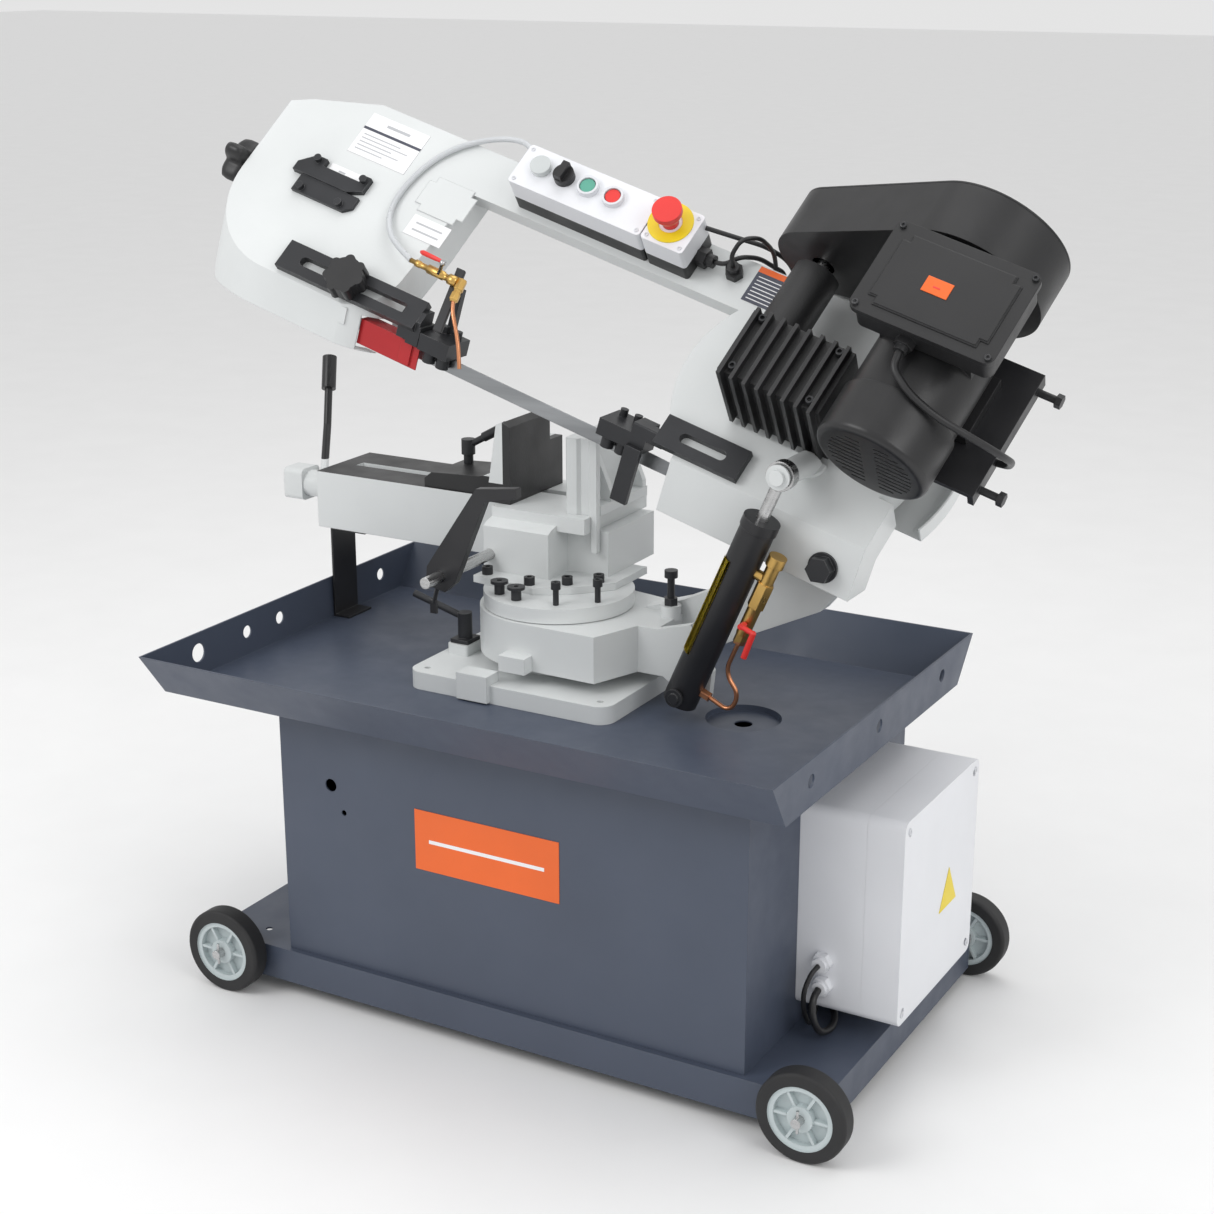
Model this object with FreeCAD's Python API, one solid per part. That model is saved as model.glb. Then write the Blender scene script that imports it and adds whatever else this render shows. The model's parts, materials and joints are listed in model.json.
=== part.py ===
import FreeCAD, Part
import math
import os
from FreeCAD import Placement, Rotation, Vector

# Swivel-head metal-cutting band saw on a wheeled cabinet.
# Millimetres. X runs along the machine towards the motor, Y to the back, Z up from the floor.

os.makedirs("parts", exist_ok=True)

X_AXIS = Vector(1, 0, 0)
Y_AXIS = Vector(0, 1, 0)
Z_AXIS = Vector(0, 0, 1)

# ---- driving dimensions ------------------------------------------------------------------

RUNNING = 0.05          # radial clearance of a shaft in its bore
GAP = 0.4               # air between curved faces on different bodies

# stand
WHEEL_R = 60.0
WHEEL_W = 28.0
WHEEL_X = 442.0
WHEEL_Y = 277.0
AXLE_R = 6.5
PAN_X = (-486.0, 456.0)
PAN_Y = (-256.0, 256.0)
PAN_Z = (21.0, 70.0)
PAN_HOLE_INSET = (70.0, 40.0)
SHEET = 2.5
CABINET_X = (-354.0, 347.0)
CABINET_Y = (-247.0, 247.0)
TRAY_FLOOR_Z = 440.0
TRAY_TOP_Z = 500.0
TRAY_TOP = (-508.0, 420.0, -343.0, 297.0)
TRAY_FLARE = (3.0, 44.0)
DRAIN = (222.0, -10.0)
DRAIN_R = 52.0
SIDE_HOLES_LEFT = ((-228.0, 13.0), (-122.6, 9.0), (-48.6, 9.0), (200.6, 9.0))
SIDE_HOLES_RIGHT = ((-233.9, 9.0), (-28.4, 9.0), (186.8, 9.0))
EBOX_X = (347.0, 487.0)
EBOX_Y = (-100.0, 158.0)
EBOX_Z = (101.0, 380.0)
EBOX_SEAM = 437.0
BOX_GLANDS = ((384.0, 170.0), (385.0, 137.0))

# swivel base and vise
SWIVEL = (-72.0, 16.0)
BASE_TOP_Z = 465.0
COLUMN_R = 60.0
RING_R = 108.0
ARM_Z = (482.0, 546.0)
DISC_R = 103.0
DISC_Z = (547.0, 567.0)
BED_TOP_Z = 662.0
BED_BOTTOM_Z = 578.0
BED_X = (-520.0, -188.0)
BED_Y = (72.0, 205.0)
BLOCK_X = (-188.0, -84.0)
BLOCK_FRONT_Y = 8.0
JAW_Y = (47.0, 188.0)
JAW_FACE_X = -168.0
JAW_TOP_Z = 777.0
FIXED_FACE_X = -80.0
FIXED_TOP_Z = 768.0
SCREW_Y = 138.5
SCREW_Z = 622.0

# head
HEAD_RAISE = 17.0        # degrees above level at rest
HEAD_TILT = 47.0         # degrees the wheel plane leans back from vertical
BLADE_POINT = Vector(-76.0, 16.0, 804.0)
HINGE = (429.0, -18.0)   # along the blade, above the blade
HINGE_R = 12.0
ARM_Y = (50.0, 78.0)

# blade and wheels
BLADE_LENGTH = 2362.0
BLADE_W = 20.0
BLADE_T = 0.9
RIM_R = 140.0
BLADE_R = RIM_R + 0.3
DRIVE = (300.0, 140.0)
CENTRES = (BLADE_LENGTH - 2 * math.pi * (BLADE_R + BLADE_T / 2)) / 2
IDLER = (DRIVE[0] - CENTRES, DRIVE[1])

# casting of the head
FRONT_N = 40.0
WEB_N = 32.0
REAR_N = -22.0
WALL = 8.0
BEAM_P = (227.0, 300.0)
LOBE_R = 125.0
LOBE = (-489.0, 125.0)
LEFT_D = -614.0
RIGHT_LOBE_R = 168.0
RIGHT_D = 473.0

# drive
WORM = (250.0, 106.0)
WORM_TEETH = 30
MOTOR = (468.0, 190.0)
MOTOR_R = 74.0
COVER_P = (300.0, 372.0)
COVER_LEFT = (245.0, 105.0, 62.0)     # along, out of the front, radius
COVER_RIGHT = (455.0, 200.0, 101.0)
HINGE_OUT = 4.6           # hinge axis of the cover's door, outside its straight side
KNUCKLE_R = 4.0
PIN_R = 2.0
WORM_PULLEY_R = 50.0
MOTOR_PULLEY_R = 34.0
BELT_P = (313.0, 322.0)
GROOVE = 7.0

SIN_TILT = math.sin(math.radians(HEAD_TILT))
COS_TILT = math.cos(math.radians(HEAD_TILT))
DOWN = Vector(0, -SIN_TILT, -COS_TILT)

head_level = Placement(BLADE_POINT, Rotation(Y_AXIS, HEAD_RAISE))
head_tilted = Placement(BLADE_POINT, Rotation(Y_AXIS, HEAD_RAISE) * Rotation(X_AXIS, HEAD_TILT))
untilt = Placement(Vector(0, 0, 0), Rotation(X_AXIS, -HEAD_TILT))


# ---- shape helpers -----------------------------------------------------------------------

def box(x, y, z):
    return Part.makeBox(x[1] - x[0], y[1] - y[0], z[1] - z[0], Vector(x[0], y[0], z[0]))


def rod(radius, start, end):
    start = Vector(*start)
    run = Vector(*end) - start
    return Part.makeCylinder(radius, run.Length, start, run)


def tube(outer, inner, start, end):
    return rod(outer, start, end).cut(rod(inner, start, end))


def hexagon(across_flats, start, end):
    start = Vector(*start)
    run = Vector(*end) - start
    circle = across_flats / math.sqrt(3)
    corners = [Vector(circle * math.cos(math.radians(60 * k)),
                      circle * math.sin(math.radians(60 * k)), 0) for k in range(7)]
    solid = Part.Face(Part.makePolygon(corners)).extrude(Vector(0, 0, run.Length))
    solid.Placement = Placement(start, Rotation(Z_AXIS, run))
    return solid


def outline(points):
    """A face from plane points; a point given as (middle, end) is the end of an arc."""
    edges = []
    first = Vector(*points[0])
    last = first
    for item in points[1:]:
        if isinstance(item[0], tuple):
            middle, end = Vector(*item[0]), Vector(*item[1])
            edges.append(Part.Arc(last, middle, end).toShape())
        else:
            end = Vector(*item)
            edges.append(Part.LineSegment(last, end).toShape())
        last = end
    if (last - first).Length > 1e-6:
        edges.append(Part.LineSegment(last, first).toShape())
    return Part.Face(Part.Wire(edges))


def plate_xy(points, z):
    flat = [tuple((q[0], q[1], z[0]) for q in p) if isinstance(p[0], tuple) else (p[0], p[1], z[0])
            for p in points]
    return outline(flat).extrude(Vector(0, 0, z[1] - z[0]))


def plate_xz(points, y):
    flat = [tuple((q[0], y[0], q[1]) for q in p) if isinstance(p[0], tuple) else (p[0], y[0], p[1])
            for p in points]
    return outline(flat).extrude(Vector(0, y[1] - y[0], 0))


def plate_yz(points, x):
    flat = [(x[0], p[0], p[1]) for p in points]
    return outline(flat).extrude(Vector(x[1] - x[0], 0, 0))


def join(shapes):
    solid = shapes[0].fuse(list(shapes[1:])) if len(shapes) > 1 else shapes[0]
    return solid.removeSplitter()


def rounded(solid, radius, direction):
    """Rounds the edges that run along a direction."""
    edges = []
    for edge in solid.Edges:
        if edge.Curve.TypeId == "Part::GeomLine":
            run = edge.tangentAt(edge.FirstParameter)
            if abs(run.dot(direction)) > 0.999:
                edges.append(edge)
    return solid.makeFillet(radius, edges)


def round_box(x, y, z, radius, direction=Z_AXIS):
    return rounded(box(x, y, z), radius, direction)


def level(shape):
    """Puts a piece given as (along blade, back, up) on the raised head."""
    placed = shape.copy()
    placed.Placement = head_level.multiply(placed.Placement)
    return placed


def tilted(shape):
    """Puts a piece given as (along blade, across head, out of its front) on the head."""
    placed = shape.copy()
    placed.Placement = head_tilted.multiply(placed.Placement)
    return placed


def in_tilt(shape):
    """Turns a piece given in level head directions into tilted ones."""
    turned = shape.copy()
    turned.Placement = untilt.multiply(turned.Placement)
    return turned


def head_point(along, back, up):
    return head_level.multVec(Vector(along, back, up))


def bent_tube(route, radius, share=0.45):
    """A round tube along straight runs joined by tangent arcs as large as the runs allow."""
    edges = []
    last = route[0]
    for before, corner, after in zip(route, route[1:], route[2:]):
        back, ahead = before - corner, after - corner
        turn = math.pi - back.getAngle(ahead)
        reach = share * min(back.Length, ahead.Length)
        back, ahead = Vector(back).normalize(), Vector(ahead).normalize()
        bend = reach / math.tan(turn / 2)
        inward = (back + ahead).normalize()
        middle = corner + inward * (bend / math.cos(turn / 2) - bend)
        start, end = corner + back * reach, corner + ahead * reach
        edges.append(Part.LineSegment(last, start).toShape())
        edges.append(Part.Arc(start, middle, end).toShape())
        last = end
    edges.append(Part.LineSegment(last, route[-1]).toShape())
    path = Part.Wire(edges)
    circle = Part.Wire(Part.Circle(route[0], route[1] - route[0], radius).toShape())
    return path.makePipeShell([circle], True, True)


def cable(points, radius):
    """A tube along a route; prints how its length compares with its volume."""
    solid = bent_tube([Vector(*p) for p in points], radius)
    print("cable of radius", radius, "is", round(solid.Volume / (math.pi * radius ** 2)), "mm long")
    return solid


parts = {}


def add(name, shape):
    parts[name] = shape


# ---- stand -------------------------------------------------------------------------------

def base_pan():
    outer = round_box(PAN_X, PAN_Y, PAN_Z, 6.0)
    inner = box((PAN_X[0] + SHEET, PAN_X[1] - SHEET), (PAN_Y[0] + SHEET, PAN_Y[1] - SHEET),
                (PAN_Z[0] - 1, PAN_Z[1] - SHEET))
    pan = outer.cut(inner)
    inset_x, inset_y = PAN_HOLE_INSET
    for x in (PAN_X[0] + inset_x, PAN_X[1] - inset_x):
        for y in (PAN_Y[0] + inset_y, PAN_Y[1] - inset_y):
            pan = pan.cut(rod(5.0, (x, y, PAN_Z[1] - 10), (x, y, PAN_Z[1] + 1)))
    for x in (-WHEEL_X, WHEEL_X):
        pan = pan.cut(rod(AXLE_R, (x, PAN_Y[0] - 5, WHEEL_R), (x, PAN_Y[1] + 5, WHEEL_R)))
    return pan


def axles():
    """Two through axles with a shoulder collar and a cotter pin outside each wheel."""
    solids = []
    half = WHEEL_Y + WHEEL_W / 2 + 12
    for x in (-WHEEL_X, WHEEL_X):
        axle = rod(AXLE_R, (x, -half, WHEEL_R), (x, half, WHEEL_R))
        for side in (-1, 1):
            y = side * (WHEEL_Y - WHEEL_W / 2 - 3.0)
            axle = axle.fuse(rod(13.0, (x, y - 2, WHEEL_R), (x, y + 2, WHEEL_R)))
            y = side * (half - 6)
            axle = axle.cut(rod(2.0, (x, y, WHEEL_R - 12), (x, y, WHEEL_R + 12)))
            solids.append(rod(1.95, (x, y, WHEEL_R - 15), (x, y, WHEEL_R + 15)))
        solids.insert(0, axle)
    return Part.makeCompound(solids)


def wheel(x, y):
    """Cast wheel with a rubber tyre: tyre and hub are separate solids."""
    y0, y1 = y - WHEEL_W / 2, y + WHEEL_W / 2
    tyre = tube(WHEEL_R, 43.0, (x, y0, WHEEL_R), (x, y1, WHEEL_R))
    tyre = tyre.makeFillet(5.0, [e for e in tyre.Edges if e.Length > 2 * math.pi * 50])
    rim = tube(43.0, 36.0, (x, y0 + 2, WHEEL_R), (x, y1 - 2, WHEEL_R))
    web = rod(37.0, (x, y - 3, WHEEL_R), (x, y + 3, WHEEL_R))
    hub = rod(17.0, (x, y0, WHEEL_R), (x, y1, WHEEL_R))
    pieces = [rim, web, hub]
    for k in range(6):
        rib = box((15.0, 37.0), (-WHEEL_W / 2 + 3, WHEEL_W / 2 - 3), (-2.0, 2.0))
        rib.Placement = Placement(Vector(x, y, WHEEL_R), Rotation(Y_AXIS, 60.0 * k))
        pieces.append(rib)
    bore = rod(AXLE_R + RUNNING, (x, y0 - 1, WHEEL_R), (x, y1 + 1, WHEEL_R))
    return Part.makeCompound([tyre, join(pieces).cut(bore)])


def cabinet():
    outer = box(CABINET_X, CABINET_Y, (PAN_Z[1], TRAY_FLOOR_Z - 2))
    inner = box((CABINET_X[0] + SHEET, CABINET_X[1] - SHEET),
                (CABINET_Y[0] + SHEET, CABINET_Y[1] - SHEET), (PAN_Z[1] - 1, TRAY_FLOOR_Z))
    shell = outer.cut(inner)
    front = CABINET_Y[0]
    shell = shell.cut(rod(9.0, (-272.0, front - 1, 330.0), (-272.0, front + 10, 330.0)))
    shell = shell.cut(rod(4.0, (-252.0, front - 1, 294.0), (-252.0, front + 10, 294.0)))
    return shell


def tray():
    """Chip tray: upright ends, sloping front and back, drilled ends and a sunk drain."""
    x0, x1, y0, y1 = TRAY_TOP
    fx, fy = TRAY_FLARE

    def frustum(inset, low, high):
        corners = []
        for k, z in ((1.0, low), (0.0, high)):
            a, b = x0 + fx * k + inset, x1 - fx * k - inset
            c, d = y0 + fy * k + inset, y1 - fy * k - inset
            ring = [Vector(a, c, z), Vector(b, c, z), Vector(b, d, z), Vector(a, d, z)]
            corners.append(Part.makePolygon(ring + [ring[0]]))
        return Part.makeLoft(corners, True, True)

    floor = TRAY_FLOOR_Z - 2
    pan = frustum(0.0, floor, TRAY_TOP_Z).cut(frustum(SHEET, floor + 2, TRAY_TOP_Z + 0.01))
    for y, radius in SIDE_HOLES_LEFT:
        pan = pan.cut(rod(radius, (x0 - 5, y, 472.0), (x0 + 10, y, 472.0)))
    for y, radius in SIDE_HOLES_RIGHT:
        pan = pan.cut(rod(radius, (x1 - 10, y, 472.0), (x1 + 5, y, 472.0)))
    bowl = rod(DRAIN_R, (DRAIN[0], DRAIN[1], floor - 8), (DRAIN[0], DRAIN[1], floor + 1))
    hollow = rod(DRAIN_R - 2, (DRAIN[0], DRAIN[1], floor - 6), (DRAIN[0], DRAIN[1], floor + 5))
    drain = rod(12.0, (DRAIN[0], DRAIN[1], floor - 10), (DRAIN[0], DRAIN[1], floor))
    return pan.fuse(bowl).cut(hollow).cut(drain)


def electrical_box():
    seam = EBOX_SEAM
    outer = round_box((EBOX_X[0], seam), EBOX_Y, EBOX_Z, 12.0, X_AXIS)
    inner = round_box((EBOX_X[0] + 4, seam + 1), (EBOX_Y[0] + 4, EBOX_Y[1] - 4),
                      (EBOX_Z[0] + 4, EBOX_Z[1] - 4), 9.0, X_AXIS)
    body = outer.cut(inner)
    solids = []
    for x, z in BOX_GLANDS:
        hole = rod(8.0, (x, EBOX_Y[0] - 1, z), (x, EBOX_Y[0] + 5, z))
        body = body.cut(hole)
        gland = hexagon(24.0, (x, EBOX_Y[0] - 10, z), (x, EBOX_Y[0], z))
        dome = rod(9.5, (x, EBOX_Y[0] - 15, z), (x, EBOX_Y[0] - 10, z))
        stem = rod(7.95, (x, EBOX_Y[0], z), (x, EBOX_Y[0] + 8, z))
        solids.append(join([gland, dome, stem]))
    return Part.makeCompound([body] + solids)


def box_cables():
    """Two cables from the box's glands, down and under it to the cabinet's side."""
    y = EBOX_Y[0] - 15
    (x1, z1), (x2, z2) = BOX_GLANDS
    wall = CABINET_X[1]
    thin = [(x1, y, z1), (x1 - 3, y - 14, z1 - 5), (x1 - 10, y - 20, z1 - 28),
            (x1 - 12, y - 16, z1 - 58), (x1 - 10, y, z1 - 86), (x1 - 18, y + 30, z1 - 93),
            (wall + 12, y + 56, z1 - 91), (wall, y + 64, z1 - 91)]
    thick = [(x2, y, z2), (x2, y - 16, z2 - 6), (x2 + 3, y - 22, z2 - 30),
             (x2 + 8, y - 10, z2 - 55), (x2 + 12, y + 20, z2 - 62), (x2 + 2, y + 56, z2 - 61),
             (wall + 16, y + 84, z2 - 58), (wall, y + 90, z2 - 57)]
    return Part.makeCompound([cable(thin, 3.2), cable(thick, 4.6)])


def electrical_box_lid():
    seam = EBOX_SEAM
    outer = round_box((seam, EBOX_X[1]), EBOX_Y, EBOX_Z, 12.0, X_AXIS)
    inner = round_box((seam - 1, EBOX_X[1] - 4), (EBOX_Y[0] + 4, EBOX_Y[1] - 4),
                      (EBOX_Z[0] + 4, EBOX_Z[1] - 4), 9.0, X_AXIS)
    lid = outer.cut(inner)
    for y in (EBOX_Y[0] + 17, EBOX_Y[1] - 17):
        for z in (EBOX_Z[0] + 17, EBOX_Z[1] - 17):
            post = rod(9.0, (seam, y, z), (EBOX_X[1], y, z))
            lid = lid.fuse(post).cut(rod(5.0, (EBOX_X[1] - 3, y, z), (EBOX_X[1] + 1, y, z)))
    return lid


# ---- swivel base, vise -------------------------------------------------------------------

def swivel_base():
    x, y = SWIVEL
    plate = round_box((x - 156, x + 156), (y - 144, y + 144), (TRAY_FLOOR_Z, BASE_TOP_Z), 22.0)
    boss = rod(75.0, (x, y, BASE_TOP_Z), (x, y, ARM_Z[0] - 1))
    block = box((x - 70, x - 22), (y - 152, y - 122), (TRAY_FLOOR_Z + 2, BASE_TOP_Z + 14))
    ledge = round_box((x - 145, x - 112), (y - 60, y - 20), (BASE_TOP_Z - 2, ARM_Z[0] - 2), 4.0)
    solid = join([plate, boss, block, ledge])
    for dx in (-135, 135):
        for dy in (-123, 123):
            solid = solid.cut(rod(4.5, (x + dx, y + dy, TRAY_FLOOR_Z - 1),
                                  (x + dx, y + dy, BASE_TOP_Z + 1)))
    return solid


def vise_turntable():
    """Fixed disc under the vise on the column that the head swivels round."""
    x, y = SWIVEL
    disc = rod(DISC_R, (x, y, DISC_Z[0]), (x, y, DISC_Z[1]))
    column = rod(COLUMN_R - RUNNING, (x, y, ARM_Z[0] - 1), (x, y, DISC_Z[0]))
    return disc.fuse(column).removeSplitter()


def turntable_screws():
    """Four vise screws, two wide flat screws and two long adjusting screws."""
    top = DISC_Z[1]
    block_top = top + 10
    solids = []
    for x, y in ((-172.0, -8.0), (-96.0, -22.0), (-52.0, 4.0), (-20.0, 34.0)):
        head = rod(7.5, (x, y, block_top), (x, y, block_top + 11))
        solids.append(head.cut(hexagon(7.0, (x, y, block_top + 6), (x, y, block_top + 12))))
    for x, y in ((-126.0, -50.0), (-92.0, -62.0)):
        cap = rod(7.0, (x, y, top), (x, y, top + 15)).fuse(rod(12.0, (x, y, top + 15),
                                                             (x, y, top + 19)))
        solids.append(cap.cut(hexagon(7.0, (x, y, top + 16), (x, y, top + 20))))
    for x, y in ((-34.0, -56.0), (8.0, -18.0)):
        shank = rod(4.0, (x, y, top), (x, y, top + 22))
        head = rod(6.5, (x, y, top + 22), (x, y, top + 32))
        head = head.cut(hexagon(6.0, (x, y, top + 27), (x, y, top + 33)))
        solids.append(shank.fuse(head))
    return Part.makeCompound(solids)


def vise_base():
    """Casting that carries the bed: foot on the disc, box, and the work table."""
    top = DISC_Z[1]
    foot = plate_xy([(-186, -22), (-84, -34), (-40, -8), (2, 40), (2, 130), (-186, 130)],
                    (top, top + 10))
    block = box(BLOCK_X, (BLOCK_FRONT_Y, 205.0), (top + 10, 640.0))
    table = box((BLOCK_X[0], -40.0), (30.0, 205.0), (640.0, BED_TOP_Z - 6))
    plate = box((BLOCK_X[0], -40.0), (30.0, 205.0), (BED_TOP_Z - 6, BED_TOP_Z))
    rib = box((BLOCK_X[1], -20.0), (60.0, 190.0), (top + 10, 640.0))
    ledge = plate_yz([(BLOCK_FRONT_Y, 640.0), (30.0, 640.0), (30.0, 648.0), (16.0, 644.0)], BLOCK_X)
    solid = join([foot, block, table, plate, rib, ledge])
    slot = box((BLOCK_X[0] - 1, FIXED_FACE_X - 19), (SCREW_Y - 9, SCREW_Y + 9), (SCREW_Z, 670.0))
    tunnel = rod(15.5, (BLOCK_X[0] - 1, SCREW_Y, SCREW_Z), (FIXED_FACE_X - 19, SCREW_Y, SCREW_Z))
    stop_bore = rod(8.0, (-178.0, BLOCK_FRONT_Y - 1, 600.0), (-178.0, 100.0, 600.0))
    return solid.cut(slot).cut(tunnel).cut(stop_bore)


def vise_bed():
    """Long bed of U section with a slotted top plate."""
    body = box(BED_X, BED_Y, (BED_BOTTOM_Z, BED_TOP_Z))
    inner = box((BED_X[0] + 14, BED_X[1] + 1), (BED_Y[0] + 10, BED_Y[1] - 10),
                (BED_BOTTOM_Z - 1, BED_TOP_Z - 12))
    slot = box((BED_X[0] + 30, BED_X[1] + 1), (SCREW_Y - 9, SCREW_Y + 9), (640.0, 670.0))
    collar = rod(26.0, (BED_X[0] - 22, SCREW_Y, SCREW_Z), (BED_X[0], SCREW_Y, SCREW_Z))
    bore = rod(8.0 + RUNNING, (BED_X[0] - 30, SCREW_Y, SCREW_Z), (BED_X[0] + 20, SCREW_Y, SCREW_Z))
    return body.cut(inner).cut(slot).fuse(collar).cut(bore)


def bed_leg():
    """Plate leg from the tray to the bed with a folded bracket."""
    left = TRAY_TOP[0] + TRAY_FLARE[0] + SHEET + 1.0
    y = (76.0, 132.0)
    plate = box((left, left + 3.0), y, (TRAY_FLOOR_Z, BED_BOTTOM_Z))
    toe = box((left, left + 28.0), y, (TRAY_FLOOR_Z, TRAY_FLOOR_Z + 3))
    head = box((left, left + 62.0), y, (BED_BOTTOM_Z - 3, BED_BOTTOM_Z))
    return join([plate, toe, head])


def fixed_jaw():
    """Upright jaw with a grooved front end, a foot on the table and ribs behind."""
    y0, y1 = JAW_Y
    face = FIXED_FACE_X
    profile = [(face, y0 + 3), (face + 3, y0), (face + 18, y0), (face + 22, y0 + 5),
               (face + 34, y0 + 5), (face + 38, y0), (face + 49, y0), (face + 49, y0 + 10),
               (face + 22, y0 + 18), (face + 22, y1), (face, y1)]
    wall = plate_xy(profile, (BED_TOP_Z, FIXED_TOP_Z))
    apron = box((-39.6, face + 49), (y0, y0 + 9), (612.0, BED_TOP_Z))
    foot = box((face, -30.0), (y0 + 10, y1), (BED_TOP_Z, BED_TOP_Z + 14))
    solids = [wall, apron, foot]
    for y in (y0 + 40, y1 - 12):
        solids.append(plate_xz([(face + 20, BED_TOP_Z + 10), (-31.0, BED_TOP_Z + 10),
                                (-31.0, BED_TOP_Z + 24), (face + 20, 752.0)], (y, y + 10)))
    return join(solids)


def movable_jaw():
    """Sliding jaw: long foot on the bed, upright face and a nut on the screw."""
    y0, y1 = JAW_Y
    x = JAW_FACE_X
    low = BED_TOP_Z + GAP
    foot = plate_xz([(x, low), (x, low + 40), (x - 70, low + 26), (x - 150, low + 22),
                     (x - 162, low + 12), (x - 162, low)], (y0 + 28, y1 - 28))
    upright = plate_xz([(x, low), (x, JAW_TOP_Z - 6), (x - 12, JAW_TOP_Z), (x - 22, JAW_TOP_Z - 4),
                        (x - 34, low + 34), (x - 40, low)], (y0, y1))
    key = box((x - 120, x - 20), (SCREW_Y - 8.6, SCREW_Y + 8.6), (SCREW_Z + 12.6, low + 2))
    nut = box((x - 120, x - 70), (SCREW_Y - 8.6, SCREW_Y + 8.6), (SCREW_Z - 12.0, SCREW_Z + 13.0))
    bore = rod(7.0 + GAP, (x - 130, SCREW_Y, SCREW_Z), (x - 10, SCREW_Y, SCREW_Z))
    relief = box((x - 60, x + 1), (y1 - 34, y1 + 1), (JAW_TOP_Z - 44, JAW_TOP_Z + 1))
    return join([foot, upright, key, nut]).cut(bore).cut(relief)


def jaw_lock_lever():
    """Ratchet clamp lever on the jaw's foot."""
    x, y = JAW_FACE_X - 128.0, SCREW_Y
    low = BED_TOP_Z + GAP + 24.2
    stem = rod(7.0, (x, y, low), (x, y, low + 14))
    hub = rod(10.0, (x, y, low + 14), (x, y, low + 36))
    arm = rod(5.0, (x, y, low + 26), (x + 50.0, y + 4.0, low + 54))
    tip = rod(7.0, (x + 26.0, y + 2.0, low + 41.0), (x + 62.0, y + 5.0, low + 61.0))
    return join([stem, hub, arm, tip])


def vise_screw():
    """Lead screw turned by the crank at the bed's left end."""
    y, z = SCREW_Y, SCREW_Z
    thread = rod(7.0, (BED_X[0] + 16, y, z), (-110.0, y, z))
    journal = rod(8.0, (BED_X[0] - 40, y, z), (BED_X[0] + 16, y, z))
    collar = rod(12.0, (BED_X[0] + 14.5, y, z), (BED_X[0] + 20, y, z))
    return join([thread, journal, collar])


def vise_crank():
    """Cast crank on the screw with a long handle leaning back over the bed's end."""
    x = BED_X[0] - 22.5
    y, z = SCREW_Y, SCREW_Z
    hub = rod(20.0, (x - 42, y, z), (x - 0.5, y, z))
    flare = round_box((x - 74, x - 40), (y - 22, y + 22), (z - 24, z + 24), 8.0, X_AXIS)
    bolt = rod(10.0, (x - 84, y, z), (x - 74, y, z))
    start = (x - 20, y + 6, z + 8)
    mid = (x - 52, y + 62, z + 74)
    end = (x - 76, y + 104, z + 150)
    handle = rod(6.0, start, mid).fuse(rod(6.0, mid, end)).fuse(Part.makeSphere(6.0, Vector(*mid)))
    grip_start = (x - 68, y + 90, z + 124.7)
    grip_end = (x - 82, y + 114.5, z + 169.0)
    grip = rod(11.0, grip_start, grip_end)
    bore = rod(8.0, (BED_X[0] - 40, y, z), (BED_X[0], y, z))
    return join([hub, flare, bolt, handle, grip]).cut(bore)


def work_stop_rod():
    x, z = -178.0, 600.0
    return rod(7.95, (x, -150.0, z), (x, 58.0, z))


def work_stop_arm():
    """Length stop: a flat arm clamped on the rod, bent towards the work."""
    x, z = -178.0, 600.0
    profile = [(x - 22, z - 14), (x + 8, z - 20), (x + 24, z - 6), (x + 74, z + 112),
               (x + 122, z + 122), (x + 122, z + 136), (x + 60, z + 128), (x - 20, z + 12)]
    arm = plate_xz(profile, (-116.0, -104.0))
    screw = rod(3.0, (x - 14, -110.0, z - 40), (x - 6, -110.0, z - 12))
    wing = box((x - 19, x - 9), (-112.0, -108.0), (z - 54, z - 36))
    bore = rod(8.0 + RUNNING, (x, -120.0, z), (x, -100.0, z))
    return join([arm, screw, wing]).cut(bore)


def swivel_lock_lever():
    """Ratchet lever that clamps the swivel arm to the base."""
    x, y = SWIVEL[0] - 128.0, SWIVEL[1] - 40.0
    low = ARM_Z[0] - 2
    bracket = box((x - 14, x + 14), (y - 16, y + 16), (low + GAP, low + 6))
    hub = rod(10.0, (x, y, low + 5), (x, y, low + 42))
    arm = rod(5.0, (x, y, low + 34), (x - 74, y - 14, low + 62))
    return join([bracket, hub, arm])


# ---- swivel arm --------------------------------------------------------------------------

HINGE_POINT = head_point(HINGE[0], 0.0, HINGE[1])
CYLINDER_Y = -50.0
CYLINDER_FOOT = Vector(155.0, CYLINDER_Y, 477.0)
CYLINDER_EYE = Vector(287.0, CYLINDER_Y, 782.0)


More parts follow.
